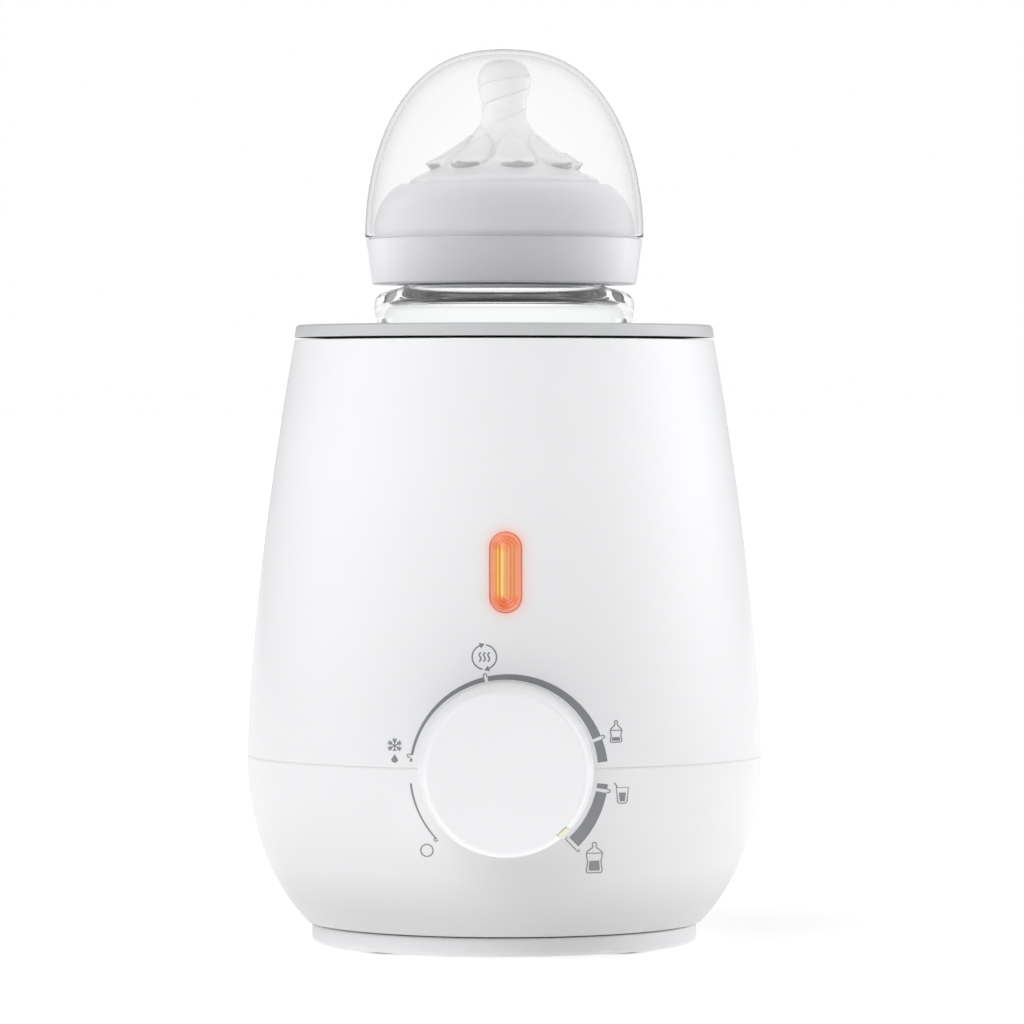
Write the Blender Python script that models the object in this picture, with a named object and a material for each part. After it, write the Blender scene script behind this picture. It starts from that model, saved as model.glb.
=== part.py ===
"""Table-top bottle warmer with a glass baby bottle standing in its water well.

Units are metres and +Z is up. The origin is on the floor under the middle of the base, and the knob
faces -Y. Sizes are written in millimetres through MM.
"""

import math

import bmesh
import bpy
from mathutils import Matrix, Vector

MM = 0.001

# Driving dimensions, in millimetres.
GAP = 0.3
SEGMENTS = 32
BODY_R = 65.06
SEAM_Z = 47.6
BODY_TOP_Z = 152.4
BODY_TOP_R = 53.0
SIDE_POWER = 1.54
BELLY_A = 36.0
BELLY_B = 51.5
BELLY_LOW_Z = 5.6
WALL = 2.4
FLOOR_Z = 5.6
FLOOR_HOLE_R = 31.0
PLINTH_R = 48.7
UNDERSIDE_Z = 0.6
PLINTH_TOP_Z = 5.2
FOOT_CIRCLE_R = 39.0
FOOT_R = 6.0
RIM_TOP_Z = 156.2
RIM_R = 53.1
WELL_R = 39.5
WELL_WALL = 2.0
LEDGE_Z = 150.0
PLATE_TOP_Z = 55.0
KNOB_Z = 47.6
KNOB_FACE_R = 19.9
KNOB_BASE_R = 20.7
KNOB_FRONT_Y = -80.0
POCKET_R = 21.3
POCKET_Y = -61.0
KNOB_REAR_Y = POCKET_Y - 0.4
SHAFT_R = 3.0
SHAFT_PLAY = 0.06
POINTER_DEG = -46.0
LENS_Z = 95.6
LENS_HALF_W = 4.0
LENS_HALF_H = 9.85
TOWER_CIRCLE_R = 46.0
TOWER_DEG = (45, 135, 225, 315)
BASE_SCREW_CIRCLE_R = 36.0
BASE_SCREW_DEG = (90, 210, 330)
GLAND_Z = 24.0
CORD_HOLE_R = 3.25
BOTTLE_FOOT_Z = PLATE_TOP_Z + GAP
BOTTLE_MOUTH_Z = 183.0
RING_FOOT_Z = 166.5
RING_LEDGE_Z = 177.9
DOME_FOOT_Z = RING_LEDGE_Z + GAP
DOME_TOP_Z = 225.8
DOME_R = 35.2
DOME_WALL = 1.1

# Shells whose many cuts leave open edges under the EXACT solver.
OPEN_UNDER_EXACT = ("base_plate", "upper_housing", "lower_housing")


def clear_scene():
    for old in list(bpy.data.objects):
        bpy.data.objects.remove(old, do_unlink=True)


def material(name, color, roughness, metallic=0.0, alpha=1.0):
    made = bpy.data.materials.new(name)
    made.use_nodes = True
    shader = made.node_tree.nodes["Principled BSDF"]
    shader.inputs["Base Color"].default_value = (*color, 1.0)
    shader.inputs["Roughness"].default_value = roughness
    shader.inputs["Metallic"].default_value = metallic
    shader.inputs["Alpha"].default_value = alpha
    return made


def finish(name, bm, look, smooth=True, origin=(0, 0, 0)):
    """One object from a bmesh whose points are in millimetres, with its origin where asked."""
    bmesh.ops.recalc_face_normals(bm, faces=bm.faces)
    bmesh.ops.transform(bm, matrix=Matrix.Translation(-Vector(origin)), verts=bm.verts)
    bmesh.ops.scale(bm, vec=(MM, MM, MM), verts=bm.verts)
    mesh = bpy.data.meshes.new(name)
    bm.to_mesh(mesh)
    bm.free()
    if smooth:
        mesh.shade_smooth()
        mesh.set_sharp_from_angle(angle=math.radians(35))
    mesh.materials.append(look)
    obj = bpy.data.objects.new(name, mesh)
    obj.location = Vector(origin) * MM
    bpy.context.scene.collection.objects.link(obj)
    return obj


def hide_cutter(obj):
    obj.hide_render = True
    obj.display_type = "WIRE"
    return obj


def boolean(obj, tool, operation):
    mod = obj.modifiers.new(f"{operation.lower()} {tool.name}", "BOOLEAN")
    mod.operation = operation
    mod.solver = "MANIFOLD" if obj.name in OPEN_UNDER_EXACT else "EXACT"
    mod.object = tool


def cut(obj, *tools):
    for tool in tools:
        boolean(obj, hide_cutter(tool), "DIFFERENCE")


def join(obj, *tools):
    for tool in tools:
        boolean(obj, hide_cutter(tool), "UNION")


def turned_into(bm, profile, segments, frame=None):
    """Turns a closed (radius, height) outline about Z; points at radius 0 become single poles."""
    frame = frame or Matrix.Identity(4)
    rings = []
    for radius, height in profile:
        if radius < 1e-6:
            rings.append([bm.verts.new(frame @ Vector((0, 0, height)))])
            continue
        ring = []
        for i in range(segments):
            turn = 2 * math.pi * i / segments
            point = Vector((radius * math.cos(turn), radius * math.sin(turn), height))
            ring.append(bm.verts.new(frame @ point))
        rings.append(ring)
    for near, far in zip(rings, rings[1:] + rings[:1]):
        if len(near) == 1 and len(far) == 1:
            continue
        for i in range(segments):
            j = (i + 1) % segments
            corners = [near[i % len(near)], near[j % len(near)], far[j % len(far)], far[i % len(far)]]
            bm.faces.new(list(dict.fromkeys(corners)))


def turned(name, profile, look, segments=SEGMENTS, frame=None, origin=(0, 0, 0)):
    bm = bmesh.new()
    turned_into(bm, profile, segments, frame)
    return finish(name, bm, look, origin=origin)


def along_y(x=0.0, y=0.0, z=0.0):
    """A frame whose local +Z points to -Y, out of the front."""
    return Matrix.Translation((x, y, z)) @ Matrix.Rotation(math.radians(90), 4, "X")


def cylinder_into(bm, x, y, low, high, radius, segments=16):
    frame = Matrix.Translation((x, y, 0))
    turned_into(bm, [(0, low), (radius, low), (radius, high), (0, high)], segments, frame)


def box_into(bm, low, high):
    made = bmesh.ops.create_cube(bm, size=1.0)["verts"]
    size = [b - a for a, b in zip(low, high)]
    middle = [(a + b) / 2 for a, b in zip(low, high)]
    bmesh.ops.scale(bm, vec=size, verts=made)
    bmesh.ops.translate(bm, vec=middle, verts=made)


def box(name, low, high, look, soft=0.0):
    bm = bmesh.new()
    box_into(bm, low, high)
    obj = finish(name, bm, look, smooth=False)
    if soft:
        mod = obj.modifiers.new("soft edges", "BEVEL")
        mod.width = soft * MM
        mod.segments = 2
    return obj


def prism_into(bm, outline, depth, frame):
    """Extrudes a closed (x, y) outline along local +Z."""
    lower = [bm.verts.new(frame @ Vector((x, y, 0))) for x, y in outline]
    upper = [bm.verts.new(frame @ Vector((x, y, depth))) for x, y in outline]
    bm.faces.new(list(reversed(lower)))
    bm.faces.new(upper)
    for i in range(len(outline)):
        j = (i + 1) % len(outline)
        bm.faces.new([lower[i], lower[j], upper[j], upper[i]])


def prism(name, outline, depth, look, frame):
    bm = bmesh.new()
    prism_into(bm, outline, depth, frame)
    return finish(name, bm, look, smooth=False)


def around(radius, degrees):
    turn = math.radians(degrees)
    return radius * math.cos(turn), radius * math.sin(turn)


def arc(cx, cy, radius, start, end, steps):
    points = []
    for i in range(steps + 1):
        x, y = around(radius, start + (end - start) * i / steps)
        points.append((cx + x, cy + y))
    return points


def side_r(z):
    """Outer radius of the tapered side above the seam."""
    share = max(0.0, z - SEAM_Z) / (BODY_TOP_Z - SEAM_Z)
    return BODY_R - (BODY_R - BODY_TOP_R) * share**SIDE_POWER


def belly_r(z):
    """Outer radius of the rounded belly below the seam, a quarter ellipse."""
    return BODY_R - BELLY_A * (1 - math.sqrt(1 - ((SEAM_Z - z) / BELLY_B) ** 2))


def spread(low, high, steps):
    return [low + (high - low) * i / steps for i in range(steps + 1)]


def tower_outline(wall_r):
    """Plan of a screw tower with a rib out to the wall, pointing along +X."""
    half = 1.2
    start = math.degrees(math.asin(half / 3.5))
    round_part = arc(TOWER_CIRCLE_R, 0, 3.5, start, 360 - start, 14)
    return round_part + [(wall_r, -half), (wall_r, half)]


def towers(name, wall_r, low, high, look):
    bm = bmesh.new()
    for degrees in TOWER_DEG:
        frame = Matrix.Rotation(math.radians(degrees), 4, "Z") @ Matrix.Translation((0, 0, low))
        prism_into(bm, tower_outline(wall_r), high - low, frame)
    return finish(name, bm, look)


def drills(name, places, low, high, radius, look):
    bm = bmesh.new()
    for x, y in places:
        cylinder_into(bm, x, y, low, high, radius, 12)
    return finish(name, bm, look)


def pill(half_w, half_h):
    straight = half_h - half_w
    return arc(0, straight, half_w, 0, 180, 10) + arc(0, -straight, half_w, 180, 360, 10)


def lens_frame(out):
    """A frame on the tilted housing front at the lens, its local +Z along the outward normal."""
    slope = (side_r(LENS_Z - 5) - side_r(LENS_Z + 5)) / 10
    tilt = Matrix.Rotation(math.radians(90) - math.atan(slope), 4, "X")
    return Matrix.Translation((0, -side_r(LENS_Z), LENS_Z)) @ tilt @ Matrix.Translation((0, 0, out))


def knob_seat(housing, core_profile, tag, look):
    """Adds the thick seat behind the knob, then cuts its round pocket and the shaft hole."""
    seat = turned(f"seat block {tag}", [(0, 58.6), (23.6, 58.6), (23.6, 64.5), (0, 64.5)], look,
                  frame=along_y(z=KNOB_Z))
    core = turned(f"seat limit {tag}", core_profile, look)
    boolean(seat, hide_cutter(core), "INTERSECT")
    pocket = turned(f"knob pocket {tag}", [(0, -POCKET_Y), (POCKET_R, -POCKET_Y), (POCKET_R, 80), (0, 80)],
                    look, frame=along_y(z=KNOB_Z))
    hole = turned(f"bush hole {tag}", [(0, 50), (4.6, 50), (4.6, 80), (0, 80)], look, 24,
                  frame=along_y(z=KNOB_Z))
    join(housing, seat)
    cut(housing, pocket, hole)


def make_upper_housing(look):
    low = SEAM_Z + GAP / 2
    outer = [(side_r(z), z) for z in spread(low, BODY_TOP_Z, 7)]
    inner = [(side_r(z) - WALL, z) for z in spread(low, LEDGE_Z - 4, 4)]
    top = [(BODY_TOP_R - WALL, BODY_TOP_Z), (BODY_TOP_R - WALL, LEDGE_Z), (44.0, LEDGE_Z),
           (44.0, LEDGE_Z - 2)]
    housing = turned("upper_housing", outer + top + inner[::-1], look)
    core = [(0, low)] + [(r - 0.5, z) for r, z in outer[:4]] + [(0, outer[3][1])]
    join(housing, towers("upper towers", 63.0, low + 0.4, 60.0, look))
    knob_seat(housing, core, "upper", look)
    window = prism("lens window", pill(LENS_HALF_W + GAP, LENS_HALF_H + GAP), 8, look, lens_frame(-6))
    cut(housing, window)
    places = [around(TOWER_CIRCLE_R, degrees) for degrees in TOWER_DEG]
    cut(housing, drills("upper pilots", places, 40, 57, 1.4, look))
    post = turned("lamp post", [(0, 50.4), (3, 50.4), (3, 58.0), (0, 58.0)], look, 16, along_y(z=113.5))
    join(housing, post)
    bm = bmesh.new()
    turned_into(bm, [(0, 45), (1.3, 45), (1.3, 55), (0, 55)], 12, along_y(z=113.5))
    for x in (-13, 13):
        turned_into(bm, [(0, 50), (1.3, 50), (1.3, 60.2), (0, 60.2)], 12, along_y(x=x, z=57.0))
    cut(housing, finish("small pilots", bm, look))


def make_lower_housing(look):
    high = SEAM_Z - GAP / 2
    outer = [(belly_r(z), z) for z in spread(BELLY_LOW_Z, high, 8)]
    inner = [(belly_r(z + 1.4) - WALL, z) for z in spread(FLOOR_Z + WALL, high - 3, 5)]
    inner.append((BODY_R - WALL, high))
    profile = [(FLOOR_HOLE_R, FLOOR_Z)] + outer + inner[::-1] + [(FLOOR_HOLE_R, FLOOR_Z + WALL)]
    housing = turned("lower_housing", profile, look)
    join(housing, towers("lower towers", 48.6, FLOOR_Z + 1.0, high - 0.4, look))
    core = [(0, 24), (belly_r(24) - 0.5, 24), (belly_r(34) - 0.5, 34), (belly_r(high) - 0.5, high),
            (0, high)]
    knob_seat(housing, core, "lower", look)
    bm = bmesh.new()
    for degrees in BASE_SCREW_DEG:
        x, y = around(BASE_SCREW_CIRCLE_R, degrees)
        cylinder_into(bm, x, y, FLOOR_Z + 1, 16, 3.5)
    for x in (-8, 8):
        cylinder_into(bm, x, 44, FLOOR_Z + 1, 26.8, 3.0)
    turned_into(bm, [(0, -62.6), (8.5, -62.6), (8.5, -54), (0, -54)], 32, along_y(z=GLAND_Z))
    join(housing, finish("lower posts", bm, look))
    places = [around(TOWER_CIRCLE_R, degrees) for degrees in TOWER_DEG]
    cut(housing, drills("screw ways", places, 0, 60, 1.8, look))
    cut(housing, drills("screw head ways", places, 0, 38, 2.9, look))
    base_places = [around(BASE_SCREW_CIRCLE_R, degrees) for degrees in BASE_SCREW_DEG]
    cut(housing, drills("base pilots", base_places, 0, 14, 1.4, look))
    cut(housing, drills("clamp pilots", [(-8, 44), (8, 44)], 14, 40, 1.3, look))
    cord_way = [(0, -70), (7.8, -70), (7.8, -62.6), (4.8, -62.6), (4.8, -50), (0, -50)]
    cut(housing, turned("cord way", cord_way, look, 32, along_y(z=GLAND_Z)))


def make_base_plate(look):
    profile = [(0, UNDERSIDE_Z), (48.0, UNDERSIDE_Z), (48.5, 0.8), (PLINTH_R, 1.4), (PLINTH_R, PLINTH_TOP_Z),
               (46.4, PLINTH_TOP_Z), (46.4, 3.2), (0, 3.2)]
    plate = turned("base_plate", profile, look)
    feet = [around(FOOT_CIRCLE_R, degrees) for degrees in TOWER_DEG]
    screws = [around(BASE_SCREW_CIRCLE_R, degrees) for degrees in BASE_SCREW_DEG]
    cut(plate, drills("foot pockets", feet, -1, 1.8, FOOT_R + GAP, look))
    cut(plate, drills("base screw ways", screws, -1, 6, 1.8, look))
    cut(plate, drills("base head ways", screws, -1, 1.9, 3.3, look))
    cut(plate, drills("block pilot", [(0, 21)], 1.6, 6, 1.3, look))


def make_feet(look):
    for i, degrees in enumerate(TOWER_DEG):
        x, y = around(FOOT_CIRCLE_R, degrees)
        profile = [(0, 0), (FOOT_R - 0.5, 0), (FOOT_R, 0.4), (FOOT_R, 1.5), (0, 1.5)]
        turned(f"rubber_foot_{i + 1}", profile, look, 24, Matrix.Translation((x, y, 0)))


def screw(name, frame, shank_r, length, head_r, head_h, look):
    """A pan-head screw: the head's seat is at the frame's origin, and the shank runs along local +Z."""
    profile = [(0, -head_h), (head_r * 0.7, -head_h), (head_r, 0), (shank_r, 0), (shank_r, length - 1),
               (0, length)]
    turned(name, profile, look, 8, frame)


def make_screws(look):
    for i, degrees in enumerate(TOWER_DEG):
        x, y = around(TOWER_CIRCLE_R, degrees)
        screw(f"housing_screw_{i + 1}", Matrix.Translation((x, y, 37.7)), 1.1, 18, 2.5, 2, look)
    for i, degrees in enumerate(BASE_SCREW_DEG):
        x, y = around(BASE_SCREW_CIRCLE_R, degrees)
        screw(f"base_screw_{i + 1}", Matrix.Translation((x, y, 1.6)), 1.1, 11, 2.9, 0.9, look)
    for i, x in enumerate((-26, 26)):
        screw(f"heater_clamp_screw_{i + 1}", Matrix.Translation((x, 0, 40.5)), 1.3, 11, 2.8, 2, look)
    for i, x in enumerate((-11.9, 11.9)):
        screw(f"cutoff_screw_{i + 1}", Matrix.Translation((x, 22, 47.1)), 1.1, 4.6, 2.2, 1.6, look)
    for i, x in enumerate((-13, 13)):
        screw(f"bracket_screw_{i + 1}", along_y(x, -56.8, 57.0), 1.0, 3.1, 2.2, 1.6, look)
    screw("lamp_holder_screw", along_y(0, -48.3, 113.5), 1.0, 6.2, 2.4, 1.6, look)
    down = Matrix.Rotation(math.radians(180), 4, "X")
    screw("terminal_block_screw", Matrix.Translation((0, 21, 14.9)) @ down, 1.0, 12.8, 2.4, 1.6, look)
    for i, x in enumerate((-8, 8)):
        screw(f"cord_clamp_screw_{i + 1}", Matrix.Translation((x, 44, 30.0)) @ down, 1.0, 13, 2.4, 1.6, look)


def make_top_ring(look):
    """Grey trim: rounded outside edge, a flat top, and a funnel lip into the well mouth."""
    low = BODY_TOP_Z + GAP
    outside = [(RIM_R, low), (52.6, 155.2)] + arc(51.6, 155.2, 1.0, 30, 90, 2)
    funnel = [(45.5, RIM_TOP_Z), (43.0, 155.4), (41.2, 153.8), (40.4, 152.0), (40.2, 149.0)]
    under = [(41.3, 149.0), (41.3, low), (42.2, low)]
    turned("top_ring", outside + funnel + under, look)


def make_well(look):
    """A cup: flange on the housing's ledge, straight wall and a floor ring round the heating plate."""
    flange_low = LEDGE_Z + GAP
    outer_r = WELL_R + WELL_WALL
    profile = [(33.0, 49.4), (outer_r, 49.4), (outer_r, 146.6), (43.2, 148.2), (43.2, flange_low),
               (50.2, flange_low), (50.2, BODY_TOP_Z), (41.7, BODY_TOP_Z), (41.7, 148.4), (WELL_R, 147.6),
               (WELL_R, 51.4), (33.0, 51.4)]
    turned("water_well", profile, look)


def make_heater(alu, rubber, ceramic, mica, steel):
    turned("well_gasket", [(33.5, 51.7), (38.5, 51.7), (38.5, 52.7), (33.5, 52.7)], rubber)
    plate = turned("heating_plate", [(0, 48.5), (32.0, 48.5), (32.0, 53.0), (38.9, 53.0), (38.9, 54.6),
                                     (38.4, PLATE_TOP_Z), (0, PLATE_TOP_Z)], alu)
    cut(plate, drills("plate pilots", [(-26, 0), (26, 0)], 40, 52.5, 1.6, alu))
    cut(plate, drills("cutoff pilots", [(-11.9, 22), (11.9, 22)], 40, 52.5, 1.4, alu))
    box("ptc_heater", (-20, -12, 44.2), (20, 12, 48.2), ceramic, 0.4)
    box("heater_insulator", (-21, -13, 43.1), (21, 13, 43.9), mica)
    outline = [(-40.5, 49.1), (-35, 49.1), (-35, 47.1), (-37.5, 47.1), (-37.5, 42.8), (37.5, 42.8),
               (37.5, 47.1), (35, 47.1), (35, 49.1), (40.5, 49.1), (40.5, 47.1), (39.5, 47.1),
               (39.5, 40.8), (-39.5, 40.8), (-39.5, 47.1), (-40.5, 47.1)]
    clamp = prism("heater_clamp", outline, 14, steel, along_y(0, 7, 0))
    cut(clamp, drills("clamp ways", [(-26, 0), (26, 0)], 38, 44, 1.7, steel))


def make_cutoff(look):
    bm = bmesh.new()
    cylinder_into(bm, 0, 22, 41.0, 47.8, 7.5, 24)
    body = finish("thermal_cutoff", bm, look)
    join(body, box("cutoff flange", (-15, 18.5, 47.4), (15, 25.5, 48.2), look))
    cut(body, drills("cutoff ways", [(-11.9, 22), (11.9, 22)], 45, 50, 1.5, look))


def make_thermostat(look, steel):
    bore = SHAFT_R + SHAFT_PLAY
    profile = [(0, 45.0), (13.0, 45.0), (13.0, 56.0), (4.0, 56.0), (4.0, 62.6), (bore, 62.6), (bore, 49.6),
               (0, 49.6)]
    turned("thermostat", profile, look, 32, along_y(z=KNOB_Z))
    outline = [(-17, 60.8), (-17, 38), (17, 38), (17, 60.8)]
    bracket = prism("thermostat_bracket", outline, 1.2, steel, along_y(0, -57.0, 0))
    holes = bmesh.new()
    turned_into(holes, [(0, 50), (4.3, 50), (4.3, 60), (0, 60)], 24, along_y(z=KNOB_Z))
    for x in (-13, 13):
        turned_into(holes, [(0, 50), (1.4, 50), (1.4, 60), (0, 60)], 12, along_y(x=x, z=57.0))
    cut(bracket, finish("bracket ways", holes, steel))


def make_knob(look, cream, steel):
    """A hollow knob with a hub on the shaft. Everything here turns about the knob's own axis."""
    axis = (0, KNOB_REAR_Y, KNOB_Z)
    front = -KNOB_FRONT_Y
    edge = arc(KNOB_FACE_R - 1.0, front - 1.0, 1.0, 90, 5, 4)
    profile = [(0, front)] + edge + [
        (KNOB_BASE_R, -KNOB_REAR_Y), (18.7, -KNOB_REAR_Y), (17.9, front - 2.2), (5.5, front - 2.2),
        (5.5, 63.0),
        (SHAFT_R + GAP, 63.0), (SHAFT_R + GAP, front - 4.0), (0, front - 4.0)]
    knob = turned("knob", profile, look, frame=along_y(z=KNOB_Z), origin=axis)
    turn = Matrix.Rotation(math.radians(-POINTER_DEG), 4, "Y")
    at = Matrix.Translation((0, 0, KNOB_Z)) @ turn
    slot = bmesh.new()
    wedge = [(21.5, 71.2), (21.5, 82), (19.0, 82), (19.0, 71.2)]
    flat = at @ Matrix.Translation((0, 0, -1.3)) @ Matrix.Scale(-1, 4, (0, 1, 0))
    prism_into(slot, wedge, 2.6, flat)
    cut(knob, finish("pointer slot", slot, look))
    inlay = [(20.35, 71.5), (20.0, 79.4), (19.3, 79.7), (19.3, 71.5)]
    bm = bmesh.new()
    prism_into(bm, inlay, 2.0, at @ Matrix.Translation((0, 0, -1.0)) @ Matrix.Scale(-1, 4, (0, 1, 0)))
    finish("knob_pointer", bm, cream, smooth=False, origin=axis)
    shaft = [(0, 50.0), (SHAFT_R, 50.0), (SHAFT_R, front - 4.8), (SHAFT_R - 0.4, front - 4.4),
             (0, front - 4.4)]
    turned("control_shaft", shaft, steel, 32, along_y(z=KNOB_Z), origin=axis)
    clip = bmesh.new()
    ring = arc(0, 0, 6.7, 40, 320, 14) + arc(0, 0, 5.85, 320, 40, 14)
    prism_into(clip, ring, 2.4, along_y(0, -65.0, KNOB_Z))
    finish("knob_clip", clip, steel, origin=axis)


def make_lens(look):
    """A light pipe: pill face flush with the housing, and a wider flange behind the wall."""
    lens = prism("indicator_lens", pill(LENS_HALF_W, LENS_HALF_H), 3.6, look, lens_frame(-3.5))
    flange = prism("lens flange", pill(LENS_HALF_W + 1.6, LENS_HALF_H + 1.6), 1.0, look, lens_frame(-4.4))
    join(lens, flange)


def make_lamp(glass, look):
    capsule = arc(0, 102.0, 2.3, 90, 0, 4) + arc(0, 89.0, 2.3, 0, -90, 4)
    turned("neon_lamp", capsule, glass, 16, Matrix.Translation((0, -52.7, 0)))
    outline = [(-48.6, 84), (-48.6, 117.5), (-50, 117.5), (-50, 107), (-55, 107), (-55, 105), (-50, 105),
               (-50, 86), (-55, 86), (-55, 84)]
    swing = Matrix(((0, 0, 1, -5), (1, 0, 0, 0), (0, 1, 0, 0), (0, 0, 0, 1)))
    holder = prism("lamp_holder", outline, 10, look, swing)
    way = turned("holder way", [(0, 45), (1.3, 45), (1.3, 55), (0, 55)], look, 12, along_y(z=113.5))
    cut(holder, way)


def make_power_inlet(block_look, gland_look, clamp_look):
    block = box("terminal_block", (-12, 14, 3.5), (12, 28, 14.6), block_look, 0.6)
    cut(block, drills("block way", [(0, 21)], 0, 20, 1.3, block_look))
    gland = [(CORD_HOLE_R, -64.6), (6.6, -64.6), (7.3, -63.9), (7.3, -62.9), (4.5, -62.9), (4.5, -53.7),
             (6.0, -53.7), (6.0, -52.2), (CORD_HOLE_R, -52.2)]
    turned("cord_gland", gland, gland_look, 24, along_y(z=GLAND_Z))
    clamp = box("cord_clamp", (-11.5, 41, 27.1), (11.5, 47, 29.7), clamp_look, 0.5)
    cut(clamp, drills("clamp bar ways", [(-8, 44), (8, 44)], 20, 40, 1.3, clamp_look))


def smooth_route(points, per_leg):
    """Points along a Catmull-Rom curve through the route."""
    ends = [points[0] * 2 - points[1]] + points + [points[-1] * 2 - points[-2]]
    found = []
    for a, b, c, d in zip(ends, ends[1:], ends[2:], ends[3:]):
        for i in range(per_leg):
            t = i / per_leg
            found.append(0.5 * (2 * b + (c - a) * t + (2 * a - 5 * b + 4 * c - d) * t**2
                                + (3 * b - a - 3 * c + d) * t**3))
    return found + [points[-1]]


LEAD_ROUTES = {
    "lead_terminal_to_cutoff": [(6, 21, 14.9), (6, 21, 21), (5, 24, 30), (4, 22, 37), (4, 22, 40.7)],
    "lead_cutoff_to_thermostat": [(-4, 22, 40.7), (-4, 21, 36), (-6, 8, 31), (-8, -15, 30), (-7, -33, 34),
                                  (-6, -40, 42), (-6, -44.7, 44)],
    "lead_thermostat_to_heater": [(6, -44.7, 44), (6.5, -40, 42.6), (8, -30, 39.5), (8, -20, 42),
                                  (8, -15.5, 45.6), (8, -12.3, 46.2)],
    "lead_terminal_to_heater": [(-6, 21, 14.9), (-6, 20, 22), (-12, 17, 32), (-12, 16.5, 41),
                                (-12, 15.2, 45), (-12, 12.3, 46.2)],
    "lead_thermostat_to_lamp": [(3, -50, 60.6), (3, -50, 67), (2.5, -51, 76), (2, -53, 83.7)],
    "lead_lamp_to_terminal": [(-2.5, -53, 83.7), (-3.5, -51, 77), (-14, -49, 66), (-21, -45, 54),
                              (-22, -39, 42), (-22, -20, 24), (-24, 2, 13), (-19, 17, 9), (-12.3, 21, 9)],
}


def make_leads(look):
    for name, route in LEAD_ROUTES.items():
        points = smooth_route([Vector(p) for p in route], 2)
        curve = bpy.data.curves.new(name, "CURVE")
        curve.dimensions = "3D"
        curve.bevel_depth = 0.9 * MM
        curve.bevel_resolution = 1
        curve.use_fill_caps = True
        spline = curve.splines.new("POLY")
        spline.points.add(len(points) - 1)
        for slot, point in zip(spline.points, points):
            slot.co = (*(point * MM), 1.0)
        curve.materials.append(look)
        lead = bpy.data.objects.new(name, curve)
        bpy.context.scene.collection.objects.link(lead)


def make_bottle(look):
    """Glass bottle: rounded foot, gripped waist, shoulder, and a neck that the ring screws onto."""
    wall = 2.4
    low = BOTTLE_FOOT_Z
    body = [(32.8, 74), (32.4, 92), (30.0, 116), (30.4, 138), (32.2, 155), (32.9, 161.2)]
    shoulder = [(31.6, 163.6), (28.4, 165.2), (25.4, 165.9)]
    outer = [(0, low), (27.5, low)] + arc(27.5, low + 4.5, 4.5, -60, 0, 3) + body + shoulder
    outer += [(25.4, BOTTLE_MOUTH_Z - 0.8), (24.8, BOTTLE_MOUTH_Z)]
    inner = [(23.0, BOTTLE_MOUTH_Z), (23.0, 164.2), (27.6, 162.4), (30.2, 158.6)]
    inner += [(r - wall, z) for r, z in body[-2::-1]]
    inner += [(28.4, low + 7), (25.0, low + 3.6), (0, low + 3.2)]
    turned("glass_bottle", outer + inner, look)


def make_teat(look):
    low = BOTTLE_MOUTH_Z + GAP
    outer = [(27.6, low), (27.6, low + 2.0), (24.0, low + 2.0), (24.0, 191.6), (18.4, 196.6), (10.2, 201.2),
             (6.8, 205.6), (5.4, 211.1), (6.9, 217.6), (5.0, 222.2), (0, 223.5)]
    inner = [(0, 221.8), (3.8, 220.8), (5.1, 217.6), (3.7, 211.1), (5.2, 204.8), (9.0, 199.6), (17.4, 194.9),
             (22.2, 190.6), (22.2, low)]
    turned("teat", outer + inner, look, 24)


def make_screw_ring(look):
    profile = [(28.6, RING_FOOT_Z), (33.4, RING_FOOT_Z), (34.9, RING_LEDGE_Z - 0.6), (34.5, RING_LEDGE_Z),
               (33.2, RING_LEDGE_Z), (32.9, 181.6), (31.0, 187.0), (25.4, 192.4), (24.5, 191.8),
               (24.5, 185.8),
               (28.6, 185.8)]
    turned("screw_ring", profile, look)


def dome_arc(radius, low, high, steps):
    """Half outline of the dome, widest at the foot: a superellipse quarter from foot to crown."""
    points = []
    for i in range(steps):
        share = math.sin(math.pi / 2 * i / steps)
        points.append((radius * (1 - share**2) ** 0.4, low + (high - low) * share))
    return points + [(0, high)]


def make_dome(look):
    outer = dome_arc(DOME_R, DOME_FOOT_Z, DOME_TOP_Z, 8)
    inner = dome_arc(DOME_R - DOME_WALL, DOME_FOOT_Z, DOME_TOP_Z - DOME_WALL, 8)
    turned("dome_cap", outer + inner[::-1], look)


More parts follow.
